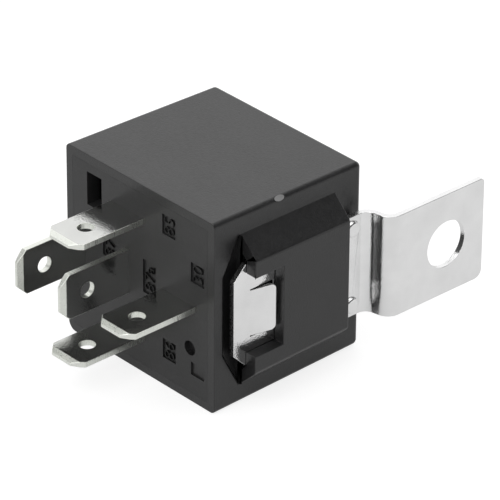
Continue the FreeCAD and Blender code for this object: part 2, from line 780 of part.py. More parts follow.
def make_armature():
    """Stamps the armature, which lies over the pole and hinges on the yoke's edge."""
    body = new_body("armature")
    place_on_hinge(body)
    outline = new_sketch(body, "armature_outline", "XZ_Plane", "closed_gap")
    half = "(yoke_width / 2)"
    end = "-armature_length"
    add_polygon(outline, [
        (end, f"armature_corner - {half}"), (f"armature_corner + {end}", f"-{half}"),
        ("0", f"-{half}"), ("0", half), (f"armature_corner + {end}", half),
        (end, f"{half} - armature_corner"),
    ])
    add_pad(body, outline, "armature_thickness", "against")
    holes = new_sketch(body, "armature_holes", "XZ_Plane", "closed_gap")
    for centre in rivet_centres():
        add_circle(holes, centre, "rivet_radius + rivet_clearance")
    add_pocket(body, holes, "armature_thickness")


def make_contact_spring():
    """Stamps the contact spring, which carries the moving contact and tucks over the yoke."""
    body = new_body("contact_spring")
    place_on_hinge(body)
    outline = new_sketch(body, "spring_outline", "XZ_Plane", "armature_top")
    wide = "(spring_width / 2)"
    slim = "(spring_arm_width / 2)"
    end = "(-contact_arm - contact_radius)"
    neck = "(-armature_length)"
    fold = "(spring_tail_gap + spring_thickness)"
    add_polygon(outline, [
        (end, f"spring_corner - {slim}"), (f"{end} + spring_corner", f"-{slim}"),
        (neck, f"-{slim}"), (f"{neck} + spring_corner", f"-{wide}"), (fold, f"-{wide}"),
        (fold, wide), (f"{neck} + spring_corner", wide), (neck, slim),
        (f"{end} + spring_corner", slim), (end, f"{slim} - spring_corner"),
    ])
    add_pad(body, outline, "spring_thickness", "against")
    tail = new_sketch(body, "spring_tail_side", "XY_Plane", "0")
    add_rectangle(tail, ("spring_tail_gap", "-spring_tail"), (fold, "spring_top"))
    add_pad(body, tail, "spring_width", "both")
    holes = new_sketch(body, "spring_holes", "XZ_Plane", "armature_top")
    for centre in rivet_centres():
        add_circle(holes, centre, "rivet_radius + rivet_clearance")
    add_circle(holes, ("-contact_arm", "0"), "contact_shank_radius + rivet_clearance")
    add_pocket(body, holes, "spring_thickness")


def make_armature_rivets():
    """Makes the two rivets that hold the spring on the armature."""
    body = new_body("armature_rivets")
    place_on_hinge(body)
    shanks = new_sketch(body, "rivet_shanks", "XZ_Plane", "closed_gap")
    heads = new_sketch(body, "rivet_heads", "XZ_Plane", "spring_top")
    for centre in rivet_centres():
        add_circle(shanks, centre, "rivet_radius")
        add_circle(heads, centre, "rivet_head_radius")
    for sketch, length in ((shanks, "spring_top - closed_gap"), (heads, "rivet_head_height")):
        pad = body.newObject("PartDesign::Pad", f"{sketch.Name}_pad")
        pad.Reversed = True
        body.AllowCompound = True
        finish_extent(pad, sketch, length, "against", "")
    head_level = places.spring_top + sizes.rivet_head_height
    round_edges(body, "rivet_domes", f"rivet_head_height * {DOME_SHARE}",
                lambda edge, direction, middle: abs(middle.y - head_level) < TOUCH)


def add_contact(body, across, layers, edge_levels):
    """Stacks discs along Y round one centre and breaks the edges at the named levels."""
    for name, start, end, radius in layers:
        disc = new_sketch(body, f"{body.Label}_{name}", "XZ_Plane", start)
        add_circle(disc, (across, "0"), radius)
        add_pad(body, disc, f"({end}) - ({start})", "against")
    round_edges(body, f"{body.Label}_edges", "contact_edge",
                lambda edge, direction, middle:
                any(abs(middle.y - level) < TOUCH for level in edge_levels))


def make_moving_contact():
    """Makes the two-faced contact that is riveted through the end of the spring."""
    body = new_body("moving_contact")
    place_on_hinge(body)
    low = "(armature_top - contact_lower_height)"
    add_contact(body, "-contact_arm", [
        ("lower", low, "armature_top", "contact_radius"),
        ("shank", "armature_top", "spring_top", "contact_shank_radius"),
        ("upper", "spring_top", "stack_top", "contact_radius"),
    ], (places.armature_top - sizes.contact_lower_height, places.stack_top))


def make_open_contact():
    """Makes the fixed contact on terminal 87, which the coil closes."""
    body = new_body("fixed_contact_87")
    body.setExpression("Placement.Base.x", link("contact_across"))
    add_contact(body, "0", [
        ("shank", "open_carrier_level - blade_thickness", "open_carrier_level",
         "contact_shank_radius"),
        ("button", "open_carrier_level", "open_contact_face", "contact_radius"),
    ], (places.open_contact_face,))


def make_closed_contact():
    """Makes the fixed contact on terminal 87a, which the spring rests on."""
    body = new_body("fixed_contact_87a")
    body.setExpression("Placement.Base.x", link("contact_across"))
    add_contact(body, "0", [
        ("button", "closed_contact_face", "closed_carrier_level", "contact_radius"),
        ("shank", "closed_carrier_level", "closed_carrier_level + blade_thickness",
         "contact_shank_radius"),
    ], (places.closed_contact_face,))


def make_resistor():
    """Moulds the suppression resistor's body, which lies between the coil's posts."""
    body = new_body("resistor_body")
    body.setExpression("Placement.Base.x", link("resistor_across"))
    body.setExpression("Placement.Base.y", link("resistor_level"))
    section = new_sketch(body, "resistor_section", "XY_Plane", "0")
    add_circle(section, ("0", "0"), "resistor_radius")
    add_pad(body, section, "resistor_length", "both")
    end = sizes.resistor_length / 2
    round_edges(body, "resistor_ends", "resistor_edge_radius",
                lambda edge, direction, middle: abs(abs(middle.z) - end) < TOUCH)


def make_resistor_leads():
    """Makes the resistor's two leads, each from its body to a coil post."""
    lead_length = link("post_face - resistor_length / 2")
    leads = []
    for name, start in (("upper_lead", "resistor_length / 2"), ("lower_lead", "-post_face")):
        lead = document.addObject("Part::Cylinder", name)
        lead.setExpression("Radius", link("resistor_lead_radius"))
        lead.setExpression("Height", lead_length)
        lead.setExpression("Placement.Base.x", link("resistor_across"))
        lead.setExpression("Placement.Base.y", link("resistor_level"))
        lead.setExpression("Placement.Base.z", link(start))
        leads.append(lead)
    pair = document.addObject("Part::Compound", "resistor_leads")
    pair.Links = leads
    pair.Label = "resistor_leads"
    sub_parts.append(pair)


def make_coil_lead(label, side):
    """Runs a coil wire from the winding up and over to the finger of its post."""
    finger = FreeCAD.Vector(sizes.coil_blade_across + sizes.coil_finger_offset,
                            places.coil_post_level + sizes.coil_finger_height / 2,
                            side * (places.post_face - sizes.wire_radius))
    coil = FreeCAD.Vector(places.coil_across, finger.y, 0)
    outward = (finger - coil).normalize()
    start = coil + outward * places.winding_radius
    start.y = places.yoke_level + sizes.flange_thickness + sizes.wire_rise
    bend = coil + outward * (places.winding_radius + sizes.wire_bend_radius * WIRE_LEVEL_SHARE)
    bend.y = start.y
    before = (start - bend).normalize()
    after = (finger - bend).normalize()
    half_turn = (math.pi - before.getAngle(after)) / 2
    tangent = sizes.wire_bend_radius * math.tan(half_turn)
    first = bend + before * tangent
    last = bend + after * tangent
    inward = (before + after).normalize()
    crown = bend + inward * (sizes.wire_bend_radius / math.cos(half_turn) - sizes.wire_bend_radius)
    route = Part.Wire([
        Part.LineSegment(start, first).toShape(),
        Part.Arc(first, crown, last).toShape(),
        Part.LineSegment(last, finger).toShape(),
    ])
    section = Part.Wire([Part.Circle(start, start - first, sizes.wire_radius).toShape()])
    lead = document.addObject("Part::Feature", label)
    lead.Shape = route.makePipeShell([section], True, False)
    lead.Placement = FreeCAD.Placement()
    lead.Label = label
    sub_parts.append(lead)


def check_document():
    """Stops if any object failed or any sub-part is empty or broken."""
    document.recompute()
    for item in document.Objects:
        if "Invalid" in item.State or "Error" in item.State:
            raise RuntimeError(f"{item.Label} failed: {item.State}")
    for item in sub_parts:
        if item.Shape.isNull() or not item.Shape.isValid() or not item.Shape.Solids:
            raise RuntimeError(f"{item.Label} has no valid solid")


def write_parts():
    """Writes each sub-part to its own file."""
    os.makedirs("parts", exist_ok=True)
    for item in sub_parts:
        item.Shape.exportStep(f"parts/{item.Label}.step")


make_cover()
make_base_plate()
make_common_terminal()
make_coil_terminal("terminal_85", "")
make_coil_terminal("terminal_86", "-")
make_open_terminal()
make_closed_terminal()
make_bracket()
make_yoke()
make_core()
make_bobbin()
make_winding()
make_armature()
make_contact_spring()
make_armature_rivets()
make_moving_contact()
make_open_contact()
make_closed_contact()
make_resistor()
make_resistor_leads()
make_coil_lead("coil_lead_85", 1)
make_coil_lead("coil_lead_86", -1)
check_document()
write_parts()
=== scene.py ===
"""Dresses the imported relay: its plating, mouldings and magnet, and the studio of the photograph."""

import logging
import math
from abc import ABC, abstractmethod
from collections.abc import Callable, Sequence
from dataclasses import dataclass, field
from enum import Enum
from functools import cached_property

import bpy
from mathutils import Matrix, Vector


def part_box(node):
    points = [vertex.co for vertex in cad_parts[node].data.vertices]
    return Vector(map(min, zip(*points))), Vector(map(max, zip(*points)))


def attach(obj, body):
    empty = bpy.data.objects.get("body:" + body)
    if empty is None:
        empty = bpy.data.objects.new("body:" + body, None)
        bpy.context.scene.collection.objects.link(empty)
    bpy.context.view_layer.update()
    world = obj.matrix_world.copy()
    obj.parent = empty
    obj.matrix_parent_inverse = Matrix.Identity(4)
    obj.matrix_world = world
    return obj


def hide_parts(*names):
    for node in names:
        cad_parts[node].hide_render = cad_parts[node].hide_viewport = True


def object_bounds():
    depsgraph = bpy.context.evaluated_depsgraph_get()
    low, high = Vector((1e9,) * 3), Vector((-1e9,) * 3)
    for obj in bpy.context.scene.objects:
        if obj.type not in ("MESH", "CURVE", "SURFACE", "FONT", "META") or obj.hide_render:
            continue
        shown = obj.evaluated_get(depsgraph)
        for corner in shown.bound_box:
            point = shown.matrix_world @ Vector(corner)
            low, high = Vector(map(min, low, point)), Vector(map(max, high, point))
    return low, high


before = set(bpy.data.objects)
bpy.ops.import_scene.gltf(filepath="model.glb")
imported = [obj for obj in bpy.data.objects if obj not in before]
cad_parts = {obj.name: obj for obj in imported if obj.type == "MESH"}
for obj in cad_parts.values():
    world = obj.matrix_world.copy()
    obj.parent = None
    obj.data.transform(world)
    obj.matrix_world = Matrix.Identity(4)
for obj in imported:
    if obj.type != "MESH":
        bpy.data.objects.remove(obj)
cad_low, cad_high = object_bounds()

# Pieces are modelled in millimetres and brought to metres when they are finished.
MM = 0.001
# The relay's directions: across, back from the pin face, and up.
X = Vector((1.0, 0.0, 0.0))
Y = Vector((0.0, 1.0, 0.0))
Z = Vector((0.0, 0.0, 1.0))
# The two sides of a middle, the lower one first.
SIDES = (-1.0, 1.0)
# How much of a face's normal goes along a direction if the face looks that way, roughly or exactly.
FLAT = 0.9
LEVEL = 0.99
# How near counts as at a place, and how far a tool goes past what it cuts, in millimetres.
NEAR = 0.01
PAST = 1.0
# How far every moulded wall leans in, in degrees.
DRAFT = 0.73
# Where most values of a noise pattern lie.
PATTERN_RANGE = (0.3, 0.7)
WHITE = (1.0, 1.0, 1.0, 1.0)
# The body that every new piece moves with.
HOUSING = "housing"

# Short names for types that come up again and again.
Piece = bpy.types.Object
Socket = bpy.types.NodeSocket
Test = Callable[..., bool]
Pair = tuple[float, float]
Triple = tuple[float, float, float]

log = logging.getLogger("relay")


class Pick(Enum):
    """What a selection in edit mode is made of."""

    VERTS = "VERT"
    EDGES = "EDGE"
    FACES = "FACE"


class Merge(Enum):
    """What a tool does to a piece."""

    ADD = "UNION"
    CUT = "DIFFERENCE"


class Stand(Enum):
    """How a blade stands in the pin face, with the turn that brings it there in degrees."""

    ACROSS = 0.0
    UPRIGHT = -90.0


class Slot(Enum):
    """The slots for the finishes of the new pieces."""

    COVER = "cover_plastic"
    PLATE = "plate_plastic"
    BLADE = "tinned_brass"
    BRACKET = "plated_steel"


class Reckoning(Enum):
    """How a node works out one number from two."""

    SUM = "ADD"
    PRODUCT = "MULTIPLY"
    LARGER = "MAXIMUM"


def anywhere(place: Vector) -> bool:
    """Passes every place."""
    return True


def facing(way: Vector, share: float = FLAT) -> Test:
    """Makes a test for faces that look a given way, by the share of their normal along it."""
    return lambda middle, normal: normal.dot(way) > share


def drawn_in(length: float) -> float:
    """Gives how far a drafted wall comes in over a length."""
    return length * math.tan(math.radians(DRAFT))


def node_box(node: str) -> tuple[Vector, Vector]:
    """Gives a construction node's lowest and highest corner in millimetres."""
    low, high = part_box(node)
    return Vector(low) / MM, Vector(high) / MM


class Workbench:
    """Blender's modelling operators, held so that they touch one piece at a time."""

    @staticmethod
    def hold(piece: Piece) -> None:
        """Selects one piece alone and makes it active.

        Args:
            piece: The piece to work on.
        """
        bpy.ops.object.select_all(action="DESELECT")
        piece.select_set(True)
        bpy.context.view_layer.objects.active = piece

    @classmethod
    def settle(cls, piece: Piece) -> None:
        """Puts a piece's place, turn and size into its mesh."""
        cls.hold(piece)
        bpy.ops.object.transform_apply(location=True, rotation=True, scale=True)

    @classmethod
    def adopt(cls, name: str) -> Piece:
        """Names the piece that was just added and puts its place into its mesh.

        Args:
            name: Its name.

        Returns:
            The piece.
        """
        piece = bpy.context.active_object
        piece.name = name
        cls.settle(piece)
        return piece

    @classmethod
    def block(cls, name: str, low: Sequence[float], high: Sequence[float]) -> Piece:
        """Adds a block between two corners.

        Args:
            name: The new piece's name.
            low: Its lowest corner.
            high: Its highest corner.

        Returns:
            The block.
        """
        low, high = Vector(low), Vector(high)
        bpy.ops.object.select_all(action="DESELECT")
        bpy.ops.mesh.primitive_cube_add(size=1, location=(low + high) / 2, scale=high - low)
        return cls.adopt(name)

    @classmethod
    def rod(cls, name: str, start: Sequence[float], end: Sequence[float], radius: float,
            sides: int = 48) -> Piece:
        """Adds a round rod between two points.

        Args:
            name: The new piece's name.
            start: The middle of one end.
            end: The middle of the other end.
            radius: The rod's radius.
            sides: How many flats make its round.

        Returns:
            The rod.
        """
        start, end = Vector(start), Vector(end)
        turn = (end - start).to_track_quat("Z", "Y").to_euler()
        bpy.ops.object.select_all(action="DESELECT")
        bpy.ops.mesh.primitive_cylinder_add(vertices=sides, radius=radius, rotation=turn,
                                            depth=(end - start).length, location=(start + end) / 2)
        return cls.adopt(name)

    @classmethod
    def pick(cls, piece: Piece, kind: Pick, wanted: Test,
             among: Sequence[bool] | None = None) -> None:
        """Enters edit mode with the wanted corners, edges or faces selected.

        Args:
            piece: The piece to work on.
            kind: What to select.
            wanted: Tells whether one is wanted. It gets a corner's place, the places of an edge's
                two ends, or a face's middle and normal.
            among: Tells by number which of them may be selected. Without it, all may.
        """
        cls.hold(piece)
        bpy.ops.object.mode_set(mode="EDIT")
        bpy.ops.mesh.select_mode(type=kind.value)
        bpy.ops.mesh.select_all(action="DESELECT")
        bpy.ops.object.mode_set(mode="OBJECT")
        mesh = piece.data
        if kind is Pick.VERTS:
            chosen = [(corner, (corner.co,)) for corner in mesh.vertices]
        elif kind is Pick.EDGES:
            chosen = [(edge, tuple(mesh.vertices[index].co for index in edge.vertices))
                      for edge in mesh.edges]
        else:
            chosen = [(face, (face.center, face.normal)) for face in mesh.polygons]
        for element, facts in chosen:
            element.select = (among is None or among[element.index]) and wanted(*facts)
        bpy.ops.object.mode_set(mode="EDIT")

    @staticmethod
    def leave() -> None:
        """Leaves edit mode."""
        bpy.ops.object.mode_set(mode="OBJECT")

    @staticmethod
    def extrude(step: Vector) -> None:
        """Extrudes what is selected in edit mode."""
        bpy.ops.mesh.extrude_region_move(TRANSFORM_OT_translate={"value": tuple(step)})

    @classmethod
    def draw_out(cls, piece: Piece, way: Vector, length: float,
                 where: Callable[[Vector], bool] = anywhere, share: float = FLAT) -> None:
        """Extrudes the faces that look a given way, in that direction.

        Args:
            piece: The piece to work on.
            way: The direction.
            length: How far they go.
            where: Tells from a face's middle whether it goes.
            share: How much of a face's normal goes along the direction, at least.
        """
        looks = facing(way, share)
        cls.pick(piece, Pick.FACES,
                 lambda middle, normal: looks(middle, normal) and where(middle))
        cls.extrude(way * length)
        cls.leave()

    @classmethod
    def shift(cls, piece: Piece, wanted: Callable[[Vector], bool], step: Sequence[float]) -> None:
        """Moves the wanted corners.

        Args:
            piece: The piece to work on.
            wanted: Tells from a corner's place whether it moves.
            step: How far they move.
        """
        cls.pick(piece, Pick.VERTS, wanted)
        bpy.ops.transform.translate(value=tuple(step))
        cls.leave()

    @classmethod
    def widen(cls, piece: Piece, way: Vector, amount: float,
              wanted: Callable[[Vector], bool]) -> None:
        """Moves the wanted corners out from the middle on both sides, or in.

        Args:
            piece: The piece to work on.
            way: The direction across.
            amount: How far each side goes out, or in where it is negative.
            wanted: Tells from a corner's place whether it moves.
        """
        for side in SIDES:
            cls.shift(piece, lambda place: wanted(place) and place.dot(way) * side > 0.0,
                      way * (side * amount))

    @classmethod
    def taper(cls, piece: Piece, level: float, inward: float) -> None:
        """Draws the corners above a level in towards the middle, on all four sides.

        Args:
            piece: The piece to work on.
            level: How far behind the pin face the level is.
            inward: How far each side comes in.
        """
        for way in (X, Z):
            cls.widen(piece, way, -inward, lambda place: place.y > level)

    @classmethod
    def slice(cls, piece: Piece, point: Sequence[float], normal: Sequence[float],
              keep_outer: bool = False) -> None:
        """Cuts a piece by a plane.

        Args:
            piece: The piece to cut.
            point: A point of the plane.
            normal: The side of the plane that is cut away.
            keep_outer: Keeps that side too, so that only the faces are divided.
        """
        cls.pick(piece, Pick.FACES, lambda middle, normal: True)
        bpy.ops.mesh.bisect(plane_co=tuple(point), plane_no=tuple(normal), threshold=NEAR / 100,
                            use_fill=not keep_outer, clear_outer=not keep_outer)
        cls.leave()

    @classmethod
    def round_off(cls, piece: Piece, wanted: Test, radius: float, steps: int,
                  among: Sequence[bool] | None = None) -> None:
        """Rounds the wanted edges.

        Args:
            piece: The piece to work on.
            wanted: Tells from an edge's two ends whether it gets a round.
            radius: How far the round reaches from the edge.
            steps: How many flats make it.
            among: Tells by number which edges may get one. Without it, all may.
        """
        cls.pick(piece, Pick.EDGES, wanted, among)
        bpy.ops.mesh.bevel(offset=radius, segments=steps, affect="EDGES", clamp_overlap=False)
        cls.leave()

    @classmethod
    def round_sharp(cls, piece: Piece, wanted: Test, radius: float, steps: int = 2,
                    sharper_than: float = 30.0) -> None:
        """Rounds the wanted ones of the sharp edges.

        Args:
            piece: The piece to work on.
            wanted: Tells from an edge's two ends whether it gets a round.
            radius: How far the round reaches from the edge.
            steps: How many flats make it.
            sharper_than: The least angle of a sharp edge, in degrees.
        """
        cls.pick(piece, Pick.EDGES, lambda start, end: False)
        bpy.ops.mesh.edges_select_sharp(sharpness=math.radians(sharper_than))
        cls.leave()
        sharp = [edge.select for edge in piece.data.edges]
        cls.round_off(piece, wanted, radius, steps, sharp)

    @classmethod
    def modify(cls, piece: Piece, kind: str, **settings: object) -> None:
        """Puts one modifier on a piece and applies it.

        Args:
            piece: The piece to change.
            kind: The modifier's type.
            settings: Its properties.
        """
        cls.hold(piece)
        step = piece.modifiers.new("step", kind)
        for name, value in settings.items():
            setattr(step, name, value)
        bpy.ops.object.modifier_apply(modifier=step.name)

    @classmethod
    def combine(cls, piece: Piece, tool: Piece, how: Merge) -> None:
        """Joins a tool to a piece, or cuts it out, and puts the tool away."""
        cls.modify(piece, "BOOLEAN", operation=how.value, solver="EXACT", object=tool)
        bpy.data.objects.remove(tool)

    @classmethod
    def soften(cls, piece: Piece, width: float, steps: int = 2,
               sharper_than: float = 30.0) -> None:
        """Breaks every sharp edge with a small round.

        Args:
            piece: The piece to soften.
            width: How far the round reaches from the edge.
            steps: How many flats make it.
            sharper_than: The least angle of an edge that gets one, in degrees.
        """
        cls.modify(piece, "BEVEL", width=width, segments=steps, limit_method="ANGLE",
                   angle_limit=math.radians(sharper_than))

    @classmethod
    def smooth(cls, piece: Piece, angle: float = 40.0) -> None:
        """Shades a piece smooth, with its large faces flat and sharp edges kept.

        Args:
            piece: The piece to shade.
            angle: The least angle of an edge that stays sharp, in degrees.
        """
        cls.hold(piece)
        bpy.ops.object.shade_smooth_by_angle(angle=math.radians(angle))
        # At this weight the largest face at a corner decides how the corner is lit.
        cls.modify(piece, "WEIGHTED_NORMAL", weight=100, keep_sharp=True)

    @classmethod
    def join_to(cls, piece: Piece, other: Piece) -> None:
        """Makes another piece part of a piece, as a shell of its own.

        Args:
            piece: The piece that stays.
            other: The piece that goes into it.
        """
        cls.hold(piece)
        other.select_set(True)
        bpy.ops.object.join()

    @classmethod
    def hand_over(cls, piece: Piece, slot: Slot, node: str) -> None:
        """Brings a finished piece to the frame's metres and gives it to the frame.

        Args:
            piece: The piece, in millimetres.
            slot: The slot for its finish. It is not used.
            node: The construction node that it stands for.
        """
        piece.matrix_world = Matrix.Scale(MM, 4)
        cls.settle(piece)
        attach(piece, HOUSING)
        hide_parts(node)
        log.info("%s: %d faces on %s", piece.name, len(piece.data.polygons), HOUSING)


class Nodes:
    """A tree of shader nodes that is put together step by step."""

    def __init__(self, tree: bpy.types.NodeTree) -> None:
        """Takes the tree to work on."""
        self.tree = tree

    def add(self, kind: str, **settings: object) -> bpy.types.Node:
        """Adds a node.

        Args:
            kind: The node's type.
            settings: Its properties, and its input sockets by name with _ for a space.

        Returns:
            The node.
        """
        node = self.tree.nodes.new(kind)
        for name, value in settings.items():
            if hasattr(node, name):
                setattr(node, name, value)
            else:
                node.inputs[name.replace("_", " ")].default_value = value
        return node

    def join(self, source: Socket, target: Socket) -> None:
        """Links two sockets."""
        self.tree.links.new(source, target)

    def reckon(self, how: Reckoning, first: Socket, second: Socket | float) -> Socket:
        """Works out one number from two.

        Args:
            how: What is done with them.
            first: The first number.
            second: The second number, from a socket or fixed.

        Returns:
            The result.
        """
        node = self.add("ShaderNodeMath", operation=how.value)
        self.join(first, node.inputs[0])
        if isinstance(second, float):
            node.inputs[1].default_value = second
        else:
            self.join(second, node.inputs[1])
        return node.outputs[0]

    def spread(self, value: Socket, start: Pair, target: Pair, soft: bool = False) -> Socket:
        """Maps one range of numbers to another.

        Args:
            value: The number.
            start: The ends of its range.
            target: The ends of the result's range.
            soft: Whether the result comes softly to its ends.

        Returns:
            The mapped number.
        """
        node = self.add("ShaderNodeMapRange", interpolation_type="SMOOTHSTEP" if soft else "LINEAR",
                        From_Min=start[0], From_Max=start[1], To_Min=target[0], To_Max=target[1])
        self.join(value, node.inputs["Value"])
        return node.outputs["Result"]


class Recipe(Nodes):
    """A node material, with patterns on the piece's own coordinates."""

    def __init__(self, name: str, **values: object) -> None:
        """Starts a material with its shader.

        Args:
            name: The material's name.
            values: Numbers and colours for the shader's sockets, by name with _ for a space.
        """
        self.material = bpy.data.materials.new(name)
        self.material.use_nodes = True
        super().__init__(self.material.node_tree)
        self.shader = self.tree.nodes["Principled BSDF"]
        for socket, value in values.items():
            self.shader.inputs[socket.replace("_", " ")].default_value = value

    @cached_property
    def place(self) -> Socket:
        """Gives the piece's own coordinates."""
        return self.add("ShaderNodeTexCoord").outputs["Object"]

    def noise(self, size: float, detail: float = 2.0, stretch: Triple = (1.0, 1.0, 1.0)) -> Socket:
        """Adds a noise pattern.

        Args:
            size: The size of its features in millimetres.
            detail: How much finer structure it has.
            stretch: How many times longer its features are along each axis.

        Returns:
            The pattern's value, from 0 to 1.
        """
        mapping = self.add("ShaderNodeMapping", Scale=tuple(1.0 / long for long in stretch))
        pattern = self.add("ShaderNodeTexNoise", Scale=1.0 / (size * MM), Detail=detail)
        self.join(self.place, mapping.inputs["Vector"])
        self.join(mapping.outputs["Vector"], pattern.inputs["Vector"])
        return pattern.outputs["Fac"]

    def paint(self, pattern: Socket, color: Triple, factors: Pair) -> None:
        """Gives the base colour, darker and lighter by a pattern.

        Args:
            pattern: The pattern.
            color: The colour.
            factors: What it is multiplied by where the pattern is low, and where it is high.
        """
        ramp = self.add("ShaderNodeValToRGB")
        for stop, place, factor in zip(ramp.color_ramp.elements, PATTERN_RANGE, factors):
            stop.position = place
            stop.color = (*(min(1.0, part * factor) for part in color), 1.0)
        self.join(pattern, ramp.inputs["Fac"])
        self.join(ramp.outputs["Color"], self.shader.inputs["Base Color"])

    def roughen(self, pattern: Socket, roughness: float, change: Pair) -> None:
        """Gives the roughness, lower and higher by a pattern.

        Args:
            pattern: The pattern.
            roughness: The roughness.
            change: What is added to it where the pattern is low, and where it is high.
        """
        ends = (roughness + change[0], roughness + change[1])
        self.join(self.spread(pattern, PATTERN_RANGE, ends), self.shader.inputs["Roughness"])

    def bump(self, *layers: tuple[Socket, float]) -> None:
        """Raises the surface by patterns.

        Args:
            layers: The patterns, each with its height in millimetres.
        """
        below = None
        for value, height in layers:
            node = self.add("ShaderNodeBump", Strength=1.0, Distance=height * MM)
            self.join(value, node.inputs["Height"])
            if below:
                self.join(below, node.inputs["Normal"])
            below = node.outputs["Normal"]
        self.join(below, self.shader.inputs["Normal"])


@dataclass(frozen=True)
class Finish(ABC):
    """What every finish has: a colour with soft clouds in it, and a roughness that varies."""

    name: str
    color: Triple
    roughness: float = 0.25
    roughness_change: Pair = (0.0, 0.15)
    cloud_size: float = 3.0
    cloud_detail: float = 3.0
    cloud_factors: Pair = (0.96, 1.03)

    def start(self, **values: object) -> Recipe:
        """Starts the material with its clouded colour.

        Args:
            values: Numbers for the shader's sockets, by name with _ for a space.

        Returns:
            The recipe, to go on with.
        """
        recipe = Recipe(self.name, **values)
        recipe.paint(recipe.noise(self.cloud_size, self.cloud_detail), self.color,
                     self.cloud_factors)
        return recipe

    @abstractmethod
    def material(self) -> bpy.types.Material:
        """Makes the node material."""


@dataclass(frozen=True)
class MouldedPlastic(Finish):
    """Black or natural moulded plastic with a fine spark-eroded grain."""

    roughness: float = 0.5
    roughness_change: Pair = (-0.05, 0.06)
    grain_size: float = 0.22
    grain_height: float = 0.012
    grain_detail: float = 3.0
    cloud_size: float = 4.0
    cloud_detail: float = 2.0
    cloud_factors: Pair = (0.88, 1.12)
    gloss: float = 0.5

    def material(self) -> bpy.types.Material:
        """Makes the node material.

        Returns:
            The material.
        """
        recipe = self.start(Specular_IOR_Level=self.gloss)
        recipe.roughen(recipe.noise(2 * self.grain_size, self.grain_detail), self.roughness,
                       self.roughness_change)
        recipe.bump((recipe.noise(self.grain_size, self.grain_detail), self.grain_height))
        return recipe.material


@dataclass(frozen=True)
class Plating(Finish):
    """Bright plating on rolled or stamped sheet."""

    roughness: float = 0.1
    roughness_change: Pair = (-0.03, 0.05)
    grain_size: float = 0.15
    grain_height: float = 0.01
    stretch: Triple = (1.0, 1.0, 1.0)
    wave_size: float = 5.0
    wave_height: float = 0.008

    def material(self) -> bpy.types.Material:
        """Makes the node material.

        Returns:
            The material.
        """
        recipe = self.start(Metallic=1.0)
        grain = recipe.noise(self.grain_size, 0.0, self.stretch)
        recipe.roughen(grain, self.roughness, self.roughness_change)
        recipe.bump((recipe.noise(self.wave_size), self.wave_height), (grain, self.grain_height))
        return recipe.material


@dataclass(frozen=True)
class SoftIron(Finish):
    """Dull nickel plating on soft iron, with faint turning or rolling marks."""

    roughness: float = 0.32
    roughness_change: Pair = (-0.06, 0.1)
    mark_size: float = 0.2
    mark_height: float = 0.006
    mark_detail: float = 3.0
    stretch: Triple = (1.0, 12.0, 1.0)
    cloud_size: float = 1.6
    cloud_detail: float = 4.0
    cloud_factors: Pair = (0.85, 1.08)

    def material(self) -> bpy.types.Material:
        """Makes the node material.

        Returns:
            The material.
        """
        recipe = self.start(Metallic=1.0)
        marks = recipe.noise(self.mark_size, self.mark_detail, self.stretch)
        recipe.roughen(marks, self.roughness, self.roughness_change)
        recipe.bump((marks, self.mark_height))
        return recipe.material


@dataclass(frozen=True)
class EnamelledWire(Finish):
    """Copper wire under clear enamel, wound side by side along an axis."""

    metal: float = 0.85
    coat: float = 0.5
    coat_roughness: float = 0.12
    pitch: float = 0.16
    wire_height: float = 0.04
    gloss_size: float = 0.4
    cloud_size: float = 1.2
    cloud_factors: Pair = (0.8, 1.15)

    def material(self) -> bpy.types.Material:
        """Makes the node material.

        Returns:
            The material.
        """
        recipe = self.start(Metallic=self.metal, Coat_Weight=self.coat,
                            Coat_Roughness=self.coat_roughness)
        turns = recipe.add("ShaderNodeTexWave", wave_type="BANDS", bands_direction="Y",
                           Scale=1.0 / (self.pitch * MM) / (2 * math.pi), Distortion=0.0)
        recipe.join(recipe.place, turns.inputs["Vector"])
        recipe.roughen(recipe.noise(self.gloss_size), self.roughness, self.roughness_change)
        recipe.bump((turns.outputs["Fac"], self.wire_height))
        return recipe.material


@dataclass(frozen=True)
class Lacquer(Finish):
    """Thick glossy lacquer with a slight orange-peel surface."""

    coat: float = 0.6
    coat_roughness: float = 0.08
    gloss_size: float = 0.5
    peel_size: float = 0.6
    peel_height: float = 0.02
    cloud_size: float = 0.8
    cloud_factors: Pair = (0.9, 1.1)

    def material(self) -> bpy.types.Material:
        """Makes the node material.

        Returns:
            The material.
        """
        recipe = self.start(Coat_Weight=self.coat, Coat_Roughness=self.coat_roughness)
        recipe.roughen(recipe.noise(self.gloss_size), self.roughness, self.roughness_change)
        recipe.bump((recipe.noise(self.peel_size), self.peel_height))
        return recipe.material


